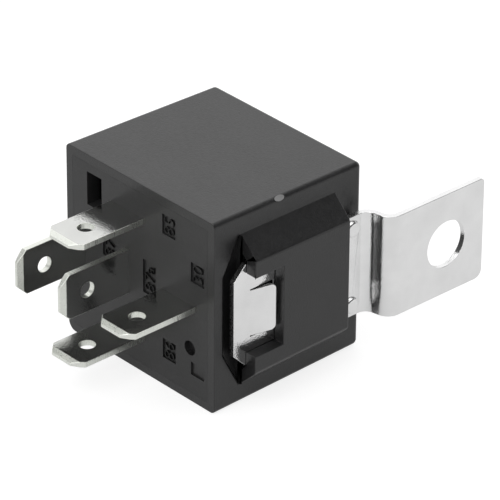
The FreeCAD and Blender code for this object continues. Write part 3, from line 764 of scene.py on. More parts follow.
class Finishes:
    """Every finish of the relay, made once and shared by its pieces."""

    def __init__(self) -> None:
        """Makes all the materials."""
        self.cover = MouldedPlastic("grained_black_plastic", (0.0175, 0.0175, 0.018),
                                    roughness=0.33, grain_height=0.025, gloss=0.65).material()
        self.plate = MouldedPlastic("smooth_black_plastic", (0.026, 0.026, 0.0265),
                                    roughness=0.36).material()
        # The boxes' floors are the plate's plastic, painted a shade lighter as painted light against
        # the shade in the boxes.
        self.box_floor_painted_light = MouldedPlastic("box_floor_plastic_painted_light", (0.027, 0.027, 0.0275),
                                   roughness=0.4, grain_height=0.006).material()
        # The numerals are the plate's own plastic, painted darker as painted shade on the sides of
        # their relief.
        self.marks = MouldedPlastic("numeral_plastic_painted_shade", (0.012, 0.012, 0.012), roughness=0.3,
                                    grain_height=0.003, gloss=0.32).material()
        self.torn = MouldedPlastic("torn_plastic", (0.26, 0.26, 0.26), roughness=0.7,
                                   grain_height=0.03).material()
        self.bobbin = MouldedPlastic("natural_plastic", (0.72, 0.68, 0.58), roughness=0.42,
                                     cloud_factors=(0.96, 1.04)).material()
        self.tin = Plating("tin_plating", (0.735, 0.74, 0.72)).material()
        self.tin_edge_flat = Plating("sheared_edge_of_flat_blades", (0.9, 0.92, 0.86),
                                     roughness=0.3, grain_height=0.014,
                                     stretch=(1.0, 1.0, 8.0)).material()
        self.tin_edge_upright = Plating("sheared_edge_of_upright_blades", (0.9, 0.92, 0.86),
                                        roughness=0.3, grain_height=0.014,
                                        stretch=(8.0, 1.0, 1.0)).material()
        self.steel = Plating("bright_plated_steel", (0.93, 0.93, 0.93), grain_size=0.12,
                             grain_height=0.015).material()
        self.steel_edge = Plating("sheared_steel_edge", (0.95, 0.95, 0.95), roughness=0.24,
                                  grain_size=0.25, grain_height=0.016).material()
        self.steel_tear = Plating("torn_steel_edge", (0.4, 0.4, 0.4), roughness=0.28,
                                  grain_size=0.25, grain_height=0.03).material()
        self.iron = SoftIron("nickel_plated_iron", (0.5, 0.49, 0.46)).material()
        self.silver = Plating("contact_silver", (0.88, 0.86, 0.82), roughness=0.22).material()
        self.brass = Plating("plain_brass", (0.78, 0.57, 0.25), roughness=0.24).material()
        self.bronze = Plating("rolled_bronze", (0.72, 0.46, 0.24), roughness=0.2,
                              stretch=(12.0, 1.0, 1.0)).material()
        self.wire = Plating("tinned_wire", (0.76, 0.76, 0.75), roughness=0.2,
                            grain_height=0.003).material()
        self.winding = EnamelledWire("enamelled_copper", (0.62, 0.24, 0.09)).material()
        self.lacquer = Lacquer("resistor_lacquer", (0.2, 0.36, 0.46)).material()

    @staticmethod
    def dress(piece: Piece, finish: bpy.types.Material,
              *others: tuple[bpy.types.Material, Test]) -> None:
        """Gives a piece its finish, and some of its faces another one.

        Args:
            piece: The piece to dress.
            finish: The finish of most of its faces.
            others: Other finishes, each with the test for its faces. The first that a face
                passes counts.
        """
        piece.data.materials.clear()
        piece.data.materials.append(finish)
        for other, _ in others:
            piece.data.materials.append(other)
        for face in piece.data.polygons:
            passed = [wanted(face.center, face.normal) for _, wanted in others]
            face.material_index = passed.index(True) + 1 if any(passed) else 0

    @staticmethod
    def dress_nodes(finish: bpy.types.Material, *nodes: str) -> None:
        """Gives construction nodes a finish, through their objects' slots.

        Args:
            finish: The finish.
            nodes: The nodes' names.
        """
        for node in nodes:
            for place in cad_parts[node].material_slots:
                place.link = "OBJECT"
                place.material = finish
            log.info("%s: %s", node, finish.name)


@dataclass
class BladeTerminal(ABC):
    """A stamped blade terminal, modelled lying flat and then stood in its slot."""

    node: str
    finishes: Finishes
    stand: Stand = Stand.ACROSS
    width: float = 6.3
    sheet: float = 0.8
    reach: float = 11.0
    root: float = 2.8
    hole_radius: float = 1.05
    hole_setback: float = 6.7
    tip_bevel: float = 0.9
    tip_thickness: float = 0.4
    corner_across: float = 1.1
    corner_along: float = 1.4
    fold_radius: float = 0.64
    fold_steps: int = 6
    edge_round: float = 0.07
    edge_angle: float = 10.0
    low: Vector = field(init=False)
    high: Vector = field(init=False)

    def __post_init__(self) -> None:
        """Reads the terminal's place from the frame."""
        self.low, self.high = node_box(self.node)

    def seat(self) -> Vector:
        """Gives the middle of the blade's section in the pin face."""
        return Vector(((self.low.x + self.high.x) / 2, 0.0, (self.low.z + self.high.z) / 2))

    def section(self) -> Vector:
        """Gives how wide the blade is across and up, as it stands.

        Returns:
            The widths, with none along the blade.
        """
        if self.stand is Stand.UPRIGHT:
            return Vector((self.sheet, 0.0, self.width))
        return Vector((self.width, 0.0, self.sheet))

    def blank(self) -> Piece:
        """Stamps the flat blade up to its root, with its tip cut and bevelled.

        Returns:
            The blade.
        """
        half, face, tip = self.width / 2, self.sheet / 2, -self.reach
        piece = Workbench.block(f"{self.node}_blade", (-half, tip, -face), (half, self.root, face))
        for side in SIDES:
            Workbench.slice(piece, (side * half, tip + self.corner_along, 0.0),
                            (side * self.corner_along, -self.corner_across, 0.0))
            Workbench.slice(piece, (0.0, tip + self.tip_bevel, side * face),
                            (0.0, self.tip_thickness / 2 - face, side * self.tip_bevel))
        return piece

    @abstractmethod
    def add_post(self, piece: Piece) -> None:
        """Draws the post out of the blade's root."""

    def drill(self, piece: Piece) -> None:
        """Punches the latch hole.

        Args:
            piece: The terminal so far.
        """
        along = -self.hole_setback
        punch = Workbench.rod("punch", (0.0, along, -self.sheet), (0.0, along, self.sheet),
                              self.hole_radius)
        Workbench.combine(piece, punch, Merge.CUT)

    def round_fold(self, piece: Piece, level: float, side: float) -> None:
        """Rounds the outside of a fold.

        Args:
            piece: The terminal so far.
            level: How far behind the pin face the fold's back is.
            side: The side of the sheet that is outside, -1 or 1.
        """
        Workbench.round_off(
            piece, lambda start, end: min(start.y, end.y) > level - NEAR
            and min(side * start.z, side * end.z) > self.sheet / 2 - NEAR,
            self.fold_radius, self.fold_steps)

    def is_sheared(self, middle: Vector, normal: Vector) -> bool:
        """Tells whether a face is one of the blade's edges, outside the base plate."""
        return abs(normal.z) <= LEVEL and middle.y <= 0.0

    def build(self) -> None:
        """Makes the whole terminal and gives it to the frame."""
        piece = self.blank()
        self.add_post(piece)
        self.drill(piece)
        Workbench.soften(piece, self.edge_round, sharper_than=self.edge_angle)
        Workbench.smooth(piece)
        edge = self.finishes.tin_edge_flat
        if self.stand is Stand.UPRIGHT:
            edge = self.finishes.tin_edge_upright
        self.finishes.dress(piece, self.finishes.tin, (edge, self.is_sheared))
        piece.matrix_world = (Matrix.Translation(self.seat())
                              @ Matrix.Rotation(math.radians(self.stand.value), 4, "Y"))
        Workbench.settle(piece)
        Workbench.hand_over(piece, Slot.BLADE, self.node)


@dataclass
class CoilTerminal(BladeTerminal):
    """Terminal 85 or 86, whose post ends in a finger for the coil wire."""

    root: float = 7.0
    finger_height: float = 3.0
    finger_width: float = 1.6
    finger_offset: float = 1.2

    def add_post(self, piece: Piece) -> None:
        """Draws the finger out of the middle of the post's end.

        Args:
            piece: The blade.
        """
        half = self.finger_width / 2
        for side in SIDES:
            Workbench.slice(piece, (self.finger_offset + side * half, 0.0, 0.0), X,
                            keep_outer=True)
        Workbench.draw_out(piece, Y, self.finger_height,
                           lambda middle: abs(middle.x - self.finger_offset) < half)


@dataclass
class CommonTerminal(BladeTerminal):
    """Terminal 30, whose foot folds flat under the yoke."""

    foot_length: float = 4.4

    def seat(self) -> Vector:
        """Gives the middle of the blade's section, below the foot's fold."""
        return Vector(((self.low.x + self.high.x) / 2, 0.0, self.low.z + self.sheet / 2))

    def add_post(self, piece: Piece) -> None:
        """Folds the foot out of the blade's root.

        Args:
            piece: The blade.
        """
        level = self.root - self.sheet
        Workbench.slice(piece, Y * level, Y, keep_outer=True)
        Workbench.draw_out(piece, Z, self.foot_length - self.sheet / 2,
                           lambda middle: middle.y > level)
        self.round_fold(piece, self.root, -1.0)


@dataclass
class ContactTerminal(BladeTerminal):
    """A terminal that folds over and holds a fixed contact in an eye."""

    contact: str = field(init=False)
    eye_radius: float = 0.73

    def away(self) -> float:
        """Gives how far the contact's middle is from the blade's."""
        low, high = node_box(self.contact)
        return self.seat().x - (low.x + high.x) / 2

    def raise_end(self, piece: Piece, level: float) -> None:
        """Draws the post's end up to the terminal's back, with the fold's root marked off.

        Args:
            piece: The terminal so far.
            level: How far behind the pin face the post ends so far.
        """
        Workbench.draw_out(piece, Y, self.high.y - self.sheet - level)
        Workbench.draw_out(piece, Y, self.sheet)

    def punch_eye(self, piece: Piece) -> None:
        """Punches the eye that the contact is riveted in.

        Args:
            piece: The terminal so far.
        """
        top, away = self.high.y, self.away()
        eye = Workbench.rod("eye", (0.0, top - 2 * self.sheet, away), (0.0, top + PAST, away),
                            self.eye_radius)
        Workbench.combine(piece, eye, Merge.CUT)


@dataclass
class OpenTerminal(ContactTerminal):
    """Terminal 87, which folds over under the open contact."""

    contact: str = "fixed_contact_87"
    root: float = 7.0
    neck_level: float = 10.0
    carrier_width: float = 5.0

    def seat(self) -> Vector:
        """Gives the middle of the blade's section, outside the carrier's fold."""
        return Vector((self.low.x + self.sheet / 2, 0.0, (self.low.z + self.high.z) / 2))

    def add_post(self, piece: Piece) -> None:
        """Draws the post in to the carrier's width, up to its level and over.

        Args:
            piece: The blade.
        """
        Workbench.draw_out(piece, Y, self.neck_level - self.root)
        Workbench.widen(piece, X, (self.carrier_width - self.width) / 2,
                        lambda place: place.y > self.neck_level - NEAR)
        self.raise_end(piece, self.neck_level)
        Workbench.draw_out(piece, -Z, self.high.x - self.low.x - self.sheet,
                           lambda middle: middle.y > self.high.y - self.sheet)
        self.round_fold(piece, self.high.y, 1.0)
        self.punch_eye(piece)


@dataclass
class ClosedTerminal(ContactTerminal):
    """Terminal 87a, which steps past the spring and folds over above it."""

    contact: str = "fixed_contact_87a"
    arm_width: float = 2.8
    arm_side: float = 3.3
    arm_step: float = 3.5
    slanted: float = 0.4
    carrier_half: float = 1.8

    def seat(self) -> Vector:
        """Gives the middle of the blade's section, beside the carrier's fold."""
        return Vector((self.high.x - self.sheet / 2, 0.0, self.low.z + self.width / 2))

    def add_post(self, piece: Piece) -> None:
        """Draws the arm out sideways, up past the spring and over it.

        Args:
            piece: The blade.
        """
        half, outer = self.width / 2, self.arm_side + self.arm_width
        top, away = self.high.y, self.away()
        shoulder, elbow = self.arm_width / 2, self.arm_width + self.arm_step
        Workbench.draw_out(piece, Y, shoulder)
        Workbench.shift(piece, lambda place: place.y > self.root + NEAR and place.x > 0.0,
                        (outer - half, self.arm_width - shoulder, 0.0))
        Workbench.draw_out(piece, Y, elbow - self.arm_width,
                           lambda middle: middle.y > self.root, share=self.slanted)
        Workbench.shift(piece, lambda place: place.y > self.root + shoulder + NEAR
                        and place.x < 0.0,
                        (self.arm_side + half, self.arm_width - shoulder, 0.0))
        self.raise_end(piece, self.root + elbow)
        for reach in (away - self.carrier_half - self.sheet / 2, 2 * self.carrier_half):
            Workbench.draw_out(piece, Z, reach, lambda middle: middle.y > top - self.sheet)
        Workbench.draw_out(piece, -X, self.arm_side + self.carrier_half,
                           lambda middle: middle.y > top - self.sheet
                           and middle.z > away - self.carrier_half)
        self.round_fold(piece, top, -1.0)
        self.punch_eye(piece)


@dataclass
class MountingBracket:
    """The folded steel bracket: strip with tongue and bosses, web, and tab with its hole."""

    finishes: Finishes
    sheet: float = 0.8
    step: float = 3.65
    lean: float = 0.7
    inner_bend: float = 1.4
    outer_bend: float = 2.0
    bend_steps: int = 14
    web_start: float = 24.45
    front_corner: float = 1.95
    hole_radius: float = 3.25
    hole_sides: int = 96
    hole_setback: float = 6.5
    upper_corner: float = 0.6
    lower_corner: float = 1.2
    corner_steps: int = 8
    tongue_root: float = 4.95
    tongue_length: float = 3.6
    tongue_width: float = 6.5
    tongue_lift: float = 0.8
    tongue_overlap: float = 0.3
    tongue_corner: float = 0.7
    slit: float = 0.12
    boss_radius: float = 1.1
    boss_rise: float = 0.45
    boss_round: float = 0.36
    boss_steps: int = 6
    boss_hollow: float = 0.66
    boss_spacing: float = 11.0
    boss_along: float = 22.0
    edge_round: float = 0.12
    edge_steps: int = 3
    smooth_angle: float = 50.0
    low: Vector = field(init=False)
    high: Vector = field(init=False)
    face: float = field(init=False)
    middle: float = field(init=False)

    def __post_init__(self) -> None:
        """Reads the bracket's place from the frame."""
        self.low, self.high = node_box("bracket")
        self.face = self.high.x - self.step
        self.middle = (self.low.z + self.high.z) / 2

    def bend(self, angle: float, across: float, along: float) -> None:
        """Spins the selected end of the strip round an upright axis."""
        bpy.ops.mesh.spin(steps=self.bend_steps, angle=angle, axis=tuple(Z),
                          center=(across, along, 0.0))

    def fold(self) -> Piece:
        """Bends the strip twice, so that the tab stands out from the cover.

        Returns:
            The folded strip.
        """
        turn = math.atan2(self.step, self.lean)
        inner_run = self.inner_bend * math.tan(turn / 2)
        outer_run = self.outer_bend * math.tan(turn / 2)
        web = math.hypot(self.step, self.lean) - inner_run - outer_run
        web_end = self.web_start + self.lean + outer_run
        strip_end = self.web_start - inner_run
        piece = Workbench.block("bracket_folded", (self.face - self.sheet, self.low.y, self.low.z),
                                (self.face, strip_end, self.high.z))
        Workbench.pick(piece, Pick.FACES, facing(Y))
        self.bend(turn, self.face + self.inner_bend, strip_end)
        Workbench.extrude(Vector((math.sin(turn), math.cos(turn), 0.0)) * web)
        self.bend(-turn, self.high.x - self.outer_bend, web_end)
        Workbench.extrude(Y * (self.high.y - web_end))
        Workbench.leave()
        return piece

    def trim(self, piece: Piece) -> None:
        """Cuts the front corners and rounds the tab's.

        Args:
            piece: The bracket so far.
        """
        for side, level in ((-1.0, self.low.z), (1.0, self.high.z)):
            Workbench.slice(piece, (0.0, self.low.y + self.front_corner, level),
                            (0.0, -1.0, side))
        for radius, level in ((self.upper_corner, self.high.z), (self.lower_corner, self.low.z)):
            Workbench.round_off(
                piece, lambda start, end: min(start.y, end.y) > self.high.y - NEAR
                and max(abs(start.z - level), abs(end.z - level)) < NEAR,
                radius, self.corner_steps)

    def lance_tongue(self, piece: Piece) -> None:
        """Cuts the slit round the tongue and lifts the tongue out of the strip.

        Args:
            piece: The bracket so far.
        """
        half, tip = self.tongue_width / 2, self.tongue_root + self.tongue_length
        slit = Workbench.block(
            "slit", (self.face - 2 * self.sheet, self.tongue_root, self.middle - half - self.slit),
            (self.face + self.sheet, tip + self.slit, self.middle + half + self.slit))
        Workbench.combine(piece, slit, Merge.CUT)
        tongue = Workbench.block(
            "tongue", (self.face - self.sheet, self.tongue_root, self.middle - half),
            (self.face, tip, self.middle + half))
        Workbench.shift(tongue, lambda place: place.y > tip - NEAR, X * self.tongue_lift)
        Workbench.draw_out(tongue, -Y, self.tongue_overlap)
        Workbench.round_off(
            tongue, lambda start, end: min(start.y, end.y) > tip - NEAR
            and abs(start.z - end.z) < NEAR, self.tongue_corner, self.corner_steps)
        Workbench.combine(piece, tongue, Merge.ADD)

    def emboss(self, piece: Piece) -> None:
        """Presses the two round bosses that stop the strip in its pocket.

        Args:
            piece: The bracket so far.
        """
        core = self.face - self.sheet / 2
        for side in SIDES:
            along, up = self.boss_along, self.middle + side * self.boss_spacing / 2
            boss = Workbench.rod("boss", (core, along, up), (self.face + self.boss_rise, along, up),
                                 self.boss_radius)
            Workbench.round_off(boss, lambda start, end: min(start.x, end.x) > self.face,
                                self.boss_round, self.boss_steps)
            Workbench.combine(piece, boss, Merge.ADD)
            hollow = Workbench.rod("hollow", (self.face - 2 * self.sheet, along, up),
                                   (core, along, up), self.boss_hollow)
            Workbench.combine(piece, hollow, Merge.CUT)

    def punch(self, piece: Piece) -> None:
        """Punches the screw hole.

        Args:
            piece: The bracket so far.
        """
        along = self.high.y - self.hole_setback
        hole = Workbench.rod("hole", (self.face, along, self.middle),
                             (self.high.x + self.sheet, along, self.middle),
                             self.hole_radius, self.hole_sides)
        Workbench.combine(piece, hole, Merge.CUT)

    def is_sheared(self, middle: Vector, normal: Vector) -> bool:
        """Tells whether a face is a long edge of the sheet, or the tab's end."""
        return abs(normal.z) > FLAT or normal.y > FLAT and middle.y > self.high.y - NEAR

    def is_torn(self, middle: Vector, normal: Vector) -> bool:
        """Tells whether a face is an edge at the strip's front, which is torn rather than cut."""
        return middle.y < self.low.y + self.front_corner and abs(normal.x) < 1.0 - FLAT

    def build(self) -> None:
        """Makes the whole bracket and gives it to the frame."""
        piece = self.fold()
        self.trim(piece)
        self.lance_tongue(piece)
        self.emboss(piece)
        self.punch(piece)
        Workbench.soften(piece, self.edge_round, self.edge_steps)
        Workbench.smooth(piece, self.smooth_angle)
        self.finishes.dress(piece, self.finishes.steel,
                            (self.finishes.steel_edge, self.is_sheared),
                            (self.finishes.steel_tear, self.is_torn))
        Workbench.hand_over(piece, Slot.BRACKET, "bracket")


@dataclass
class Cover:
    """The moulded cover, with the raised pocket that holds the bracket."""

    finishes: Finishes
    side: float = 14.0
    top: float = 13.5
    depth: float = 24.7
    wall: float = 1.25
    edge_radius: float = 0.7
    edge_steps: int = 8
    keyed_radius: float = 1.3
    keyed_steps: int = 10
    pocket_start: float = 4.25
    pocket_end: float = 20.2
    pocket_top: float = 16.85
    pocket_foot_half: float = 10.6
    pocket_top_half: float = 8.0
    pocket_round: float = 0.3
    pocket_steps: int = 5
    channel: Pair = (13.95, 15.08)
    channel_half: float = 7.6
    mouth_start: float = 1.6
    mouth_half: float = 5.45
    mouth_sink: float = 0.75
    mouth_round: float = 0.4
    mouth_steps: int = 6
    window_half: float = 5.6
    window_end: float = 9.0
    edge_round: float = 0.13
    gate_along: float = 10.85
    gate_radius: float = 0.54
    gate_sides: int = 24
    gate_stretch: float = 1.4
    gate_rise: float = 0.07
    gate_steps: int = 3

    def is_keyed(self, start: Vector, end: Vector) -> bool:
        """Tells whether an edge is the long one with the larger round."""
        return (abs(start.y - end.y) > self.wall
                and max(start.x, end.x, start.z, end.z) < 0.0)

    def is_outer(self, start: Vector, end: Vector) -> bool:
        """Tells whether an edge is another long one, or one of the back.

        Args:
            start: The place of one end.
            end: The place of the other end.

        Returns:
            Whether it is.
        """
        return (abs(start.y - end.y) > self.wall
                and (min(start.x, end.x) > 0.0 or min(start.z, end.z) > 0.0)
                or min(start.y, end.y) > self.depth - NEAR)

    def is_beside_mouth(self, start: Vector, end: Vector) -> bool:
        """Tells whether an edge is where the mouth cuts the cover's side.

        Args:
            start: The place of one end.
            end: The place of the other end.

        Returns:
            Whether it is.
        """
        return (min(start.x, end.x) > self.side - drawn_in(self.pocket_start) - NEAR
                and max(start.x, end.x) < self.side
                and min(start.y, end.y) > self.mouth_start - NEAR
                and max(start.y, end.y) < self.pocket_start + NEAR)

    def is_outside_mouth(self, start: Vector, end: Vector) -> bool:
        """Tells whether an edge is outside the mouth, which has a round of its own.

        Args:
            start: The place of one end.
            end: The place of the other end.

        Returns:
            Whether it is.
        """
        return not (min(start.x, end.x) > self.side - self.mouth_sink - NEAR
                    and max(start.x, end.x) < self.side + self.mouth_round
                    and min(start.y, end.y) > self.mouth_start - self.mouth_round - NEAR
                    and max(start.y, end.y) < self.pocket_start + NEAR)

    def box(self) -> Piece:
        """Moulds the drafted box, solid, with its long edges and its back rounded.

        Returns:
            The box.
        """
        piece = Workbench.block("cover_shell", (-self.side, 0.0, -self.top),
                                (self.side, self.depth, self.top))
        Workbench.taper(piece, self.depth - NEAR, drawn_in(self.depth))
        Workbench.round_off(piece, self.is_keyed, self.keyed_radius, self.keyed_steps)
        Workbench.round_off(piece, self.is_outer, self.edge_radius, self.edge_steps)
        return piece

    def raise_pocket(self, piece: Piece) -> None:
        """Adds the raised pocket, with sloping flanks and a rounded crest.

        Args:
            piece: The cover so far.
        """
        root = self.side - self.wall / 2
        flank = (self.pocket_foot_half - self.pocket_top_half) / (self.pocket_top - self.side)
        root_half = self.pocket_foot_half + flank * self.wall / 2
        inset = drawn_in(self.pocket_end - self.pocket_start)
        crest = self.pocket_top - inset - NEAR
        pocket = Workbench.block("pocket", (root, self.pocket_start, -root_half),
                                 (self.pocket_top, self.pocket_end, root_half))
        Workbench.widen(pocket, Z, self.pocket_top_half - root_half,
                        lambda place: place.x > self.side)
        Workbench.widen(pocket, Z, -inset * math.hypot(1.0, flank),
                        lambda place: place.y > self.pocket_end - NEAR)
        Workbench.shift(pocket, lambda place: place.x > self.side
                        and place.y > self.pocket_end - NEAR, X * -inset)
        Workbench.round_off(pocket, lambda start, end: min(start.x, end.x) > crest
                            and max(start.y, end.y) > self.pocket_start + NEAR,
                            self.pocket_round, self.pocket_steps)
        Workbench.combine(piece, pocket, Merge.ADD)

    def hollow_out(self, piece: Piece) -> None:
        """Cuts the room inside the cover.

        Args:
            piece: The cover so far.
        """
        inner_side, inner_top = self.side - self.wall, self.top - self.wall
        room = Workbench.block("room", (-inner_side, 0.0, -inner_top),
                               (inner_side, self.depth - self.wall, inner_top))
        Workbench.taper(room, self.wall, drawn_in(self.depth - self.wall))
        Workbench.draw_out(room, -Y, PAST)
        Workbench.combine(piece, room, Merge.CUT)

    def open_pocket(self, piece: Piece) -> None:
        """Cuts the bracket's channel, its mouth and its window.

        Args:
            piece: The cover so far.
        """
        floor, roof = self.channel
        channel = Workbench.block("channel", (floor, self.pocket_start, -self.channel_half),
                                  (roof, self.pocket_end + self.wall, self.channel_half))
        Workbench.widen(channel, Z, roof - floor, lambda place: place.x < self.side)
        mouth = Workbench.block("mouth", (self.side - self.mouth_sink, self.mouth_start,
                                          -self.mouth_half),
                                (self.pocket_top + PAST, self.pocket_start, self.mouth_half))
        Workbench.widen(mouth, Z, self.pocket_foot_half - self.mouth_half,
                        lambda place: place.y > self.pocket_start - NEAR)
        window = Workbench.block("window", (roof, self.mouth_start, -self.window_half),
                                 (self.pocket_top + PAST, self.window_end, self.window_half))
        for tool in (channel, mouth, window):
            Workbench.combine(piece, tool, Merge.CUT)
        Workbench.round_off(piece, self.is_beside_mouth, self.mouth_round, self.mouth_steps)

    def divide_front(self, piece: Piece) -> None:
        """Divides the pocket's forked front beside its channel, so that each face is simple.

        Args:
            piece: The cover so far.
        """
        beside = self.channel_half + 2 * self.edge_round
        for side in SIDES:
            Workbench.slice(piece, Z * (side * beside), Z, keep_outer=True)

    def gate_mark(self) -> Piece:
        """Makes the low stub that is left where the mould filled, on the upper edge.

        Returns:
            The stub.
        """
        inset = drawn_in(self.gate_along)
        back = self.edge_radius * (1.0 - math.sqrt(0.5))
        crown = Vector((self.side - inset - back, self.gate_along, self.top - inset - back))
        outward = Vector((1.0, 0.0, 1.0)).normalized()
        tip = crown + outward * self.gate_rise
        stub = Workbench.rod("gate_mark", crown - outward * self.edge_radius / 2, tip,
                             self.gate_radius, self.gate_sides)
        spread = Vector((1.0 / self.gate_stretch, self.gate_stretch, 1.0 / self.gate_stretch))
        stub.matrix_world = (Matrix.Translation(crown) @ Matrix.Diagonal(spread).to_4x4()
                             @ Matrix.Translation(-crown))
        Workbench.settle(stub)
        top = tip.dot(outward) - NEAR
        Workbench.round_off(stub, lambda start, end: min(start.dot(outward), end.dot(outward))
                            > top, self.gate_rise, self.gate_steps)
        return stub

    def build(self) -> None:
        """Makes the cover and gives it to the frame."""
        piece = self.box()
        self.raise_pocket(piece)
        self.open_pocket(piece)
        Workbench.round_sharp(piece, self.is_outside_mouth, self.edge_round)
        self.divide_front(piece)
        self.hollow_out(piece)
        Workbench.smooth(piece)
        self.finishes.dress(piece, self.finishes.cover)
        stub = self.gate_mark()
        Workbench.smooth(stub)
        self.finishes.dress(stub, self.finishes.torn)
        Workbench.join_to(piece, stub)
        Workbench.hand_over(piece, Slot.COVER, "cover")


@dataclass(frozen=True)
class Label:
    """A sunken box in the pin face, bare or with a terminal's number."""

    words: str
    low: Pair
    tall: float = 2.8
    wide: float = 2.45


@dataclass(frozen=True)
class Numerals:
    """The signs of a terminal's number, which stand on a box's floor and read upwards."""

    height: float = 1.7
    relief: float = 0.27
    sink: float = 0.03
    thinning: float = 0.028

    def make(self, words: str, floor: Sequence[float]) -> Piece:
        """Makes one number.

        Args:
            words: What it says.
            floor: The middle of the box's floor.

        Returns:
            The signs as one mesh, with its place in it.
        """
        bpy.ops.object.select_all(action="DESELECT")
        bpy.ops.object.text_add()
        line = bpy.context.active_object
        line.data.body = words
        line.data.align_x = "CENTER"
        # The line is one unit thick, so the relief is also its scale.
        line.data.extrude = 0.5
        line.data.offset = -self.thinning
        bpy.ops.object.convert(target="MESH")
        piece = bpy.context.active_object
        places = [corner.co for corner in piece.data.vertices]
        low = Vector([min(place[axis] for place in places) for axis in range(3)])
        high = Vector([max(place[axis] for place in places) for axis in range(3)])
        scale = self.height / (high.y - low.y)
        across, along, up = floor
        # The line's own directions become up, to the left and out of the pin face.
        turn = Matrix(((0.0, -1.0, 0.0), (0.0, 0.0, -1.0), (1.0, 0.0, 0.0))).to_4x4()
        middle = (across, along - self.relief / 2 + self.sink, up)
        piece.matrix_world = (Matrix.Translation(middle) @ turn
                              @ Matrix.Diagonal((scale, scale, self.relief, 1.0))
                              @ Matrix.Translation(-(low + high) / 2))
        Workbench.settle(piece)
        return piece


@dataclass
class BasePlate:
    """The base plate with the blades' slots, the vent, the dimple and the labels."""

    finishes: Finishes
    terminals: tuple[BladeTerminal, ...]
    seam: float = 0.03
    slot_clearance: float = 0.004
    vent_low: Pair = (-9.95, 6.35)
    vent_size: Pair = (2.8, 4.7)
    dimple_place: Pair = (9.45, -5.85)
    dimple_radius: float = 1.0
    dimple_depth: float = 0.8
    label_depth: float = 0.25
    labels: tuple[Label, ...] = (
        Label("85", (4.35, 8.3)), Label("86", (4.35, -9.45)), Label("30", (9.65, 3.75)),
        Label("87a", (0.65, -1.65), 4.75), Label("87", (-7.0, 0.4)), Label("", (9.65, -9.55), 1.85),
    )
    numerals: Numerals = Numerals()
    low: Vector = field(init=False)
    high: Vector = field(init=False)

    def __post_init__(self) -> None:
        """Reads the plate's place from the frame."""
        self.low, self.high = node_box("base_plate")

    def slot_tool(self, terminal: BladeTerminal) -> Piece:
        """Makes the tool for a terminal's slot.

        Args:
            terminal: The terminal.

        Returns:
            The tool.
        """
        clearance = Vector((self.slot_clearance, self.high.y + PAST, self.slot_clearance))
        seat, reach = terminal.seat(), terminal.section() / 2 + clearance
        return Workbench.block("slot", seat - reach, seat + reach)

    @staticmethod
    def box_tool(name: str, corner: Pair, size: Pair, depth: float) -> Piece:
        """Makes the tool for a rectangular recess in the pin face.

        Args:
            name: The tool's name.
            corner: The recess's corner, across and up.
            size: How wide and how tall it is.
            depth: How deep it is.

        Returns:
            The tool.
        """
        (across, up), (wide, tall) = corner, size
        return Workbench.block(name, (across, -PAST, up), (across + wide, depth, up + tall))

    def carve(self, piece: Piece) -> None:
        """Cuts the slots, the vent, the dimple and the labels' boxes.

        Args:
            piece: The plain plate.
        """
        across, up = self.dimple_place
        tools = [self.slot_tool(terminal) for terminal in self.terminals]
        tools.append(self.box_tool("vent", self.vent_low, self.vent_size, self.high.y + PAST))
        tools.append(Workbench.rod("dimple", (across, -PAST, up), (across, self.dimple_depth, up),
                                   self.dimple_radius))
        for label in self.labels:
            tools.append(self.box_tool("label", label.low, (label.wide, label.tall),
                                       self.label_depth))
        for tool in tools:
            Workbench.combine(piece, tool, Merge.CUT)

    def add_numbers(self, piece: Piece) -> None:
        """Sets the numbers on the floors of their boxes.

        Args:
            piece: The carved plate.
        """
        for label in self.labels:
            if label.words:
                across, up = label.low
                line = self.numerals.make(label.words, (across + label.wide / 2, self.label_depth,
                                                        up + label.tall / 2))
                # The numerals' darker colour is painted shade for the sides of their relief.
                self.finishes.dress(line, self.finishes.marks)
                Workbench.join_to(piece, line)

    def is_sunk(self, middle: Vector, normal: Vector) -> bool:
        """Tells whether a face is the floor of a label's box."""
        return normal.y < -FLAT and abs(middle.y - self.label_depth) < NEAR

    def build(self) -> None:
        """Makes the base plate and gives it to the frame."""
        grow = Vector((self.seam, 0.0, self.seam))
        piece = Workbench.block("plate_with_numbers", self.low - grow, self.high + grow)
        Workbench.taper(piece, self.high.y - NEAR, drawn_in(self.high.y - self.low.y))
        self.carve(piece)
        # The boxes' floors get a lighter copy of the plate's plastic: painted light against their
        # shade.
        self.finishes.dress(piece, self.finishes.plate, (self.finishes.box_floor_painted_light, self.is_sunk))
        self.add_numbers(piece)
        Workbench.hand_over(piece, Slot.PLATE, "base_plate")


@dataclass
class CoilMagnet:
    """The coil on its bobbin, with its core and yoke."""

    finishes: Finishes

    def build(self) -> None:
        """Dresses the magnet's pieces."""
        self.finishes.dress_nodes(self.finishes.iron, "yoke", "core")
        self.finishes.dress_nodes(self.finishes.bobbin, "bobbin")
        self.finishes.dress_nodes(self.finishes.winding, "coil_winding", "coil_lead_85",
                                  "coil_lead_86")


@dataclass
class ContactGroup:
    """The armature with its leaf, and the contacts that it switches between."""

    finishes: Finishes

    def build(self) -> None:
        """Dresses the pieces that switch."""
        self.finishes.dress_nodes(self.finishes.iron, "armature")
        self.finishes.dress_nodes(self.finishes.brass, "armature_rivets")
        self.finishes.dress_nodes(self.finishes.bronze, "contact_spring")
        self.finishes.dress_nodes(self.finishes.silver, "moving_contact", "fixed_contact_87",
                                  "fixed_contact_87a")


@dataclass
class SuppressionResistor:
    """The resistor across the coil, with its two leads."""

    finishes: Finishes

    def build(self) -> None:
        """Dresses the body and the leads."""
        self.finishes.dress_nodes(self.finishes.lacquer, "resistor_body")
        self.finishes.dress_nodes(self.finishes.wire, "resistor_leads")


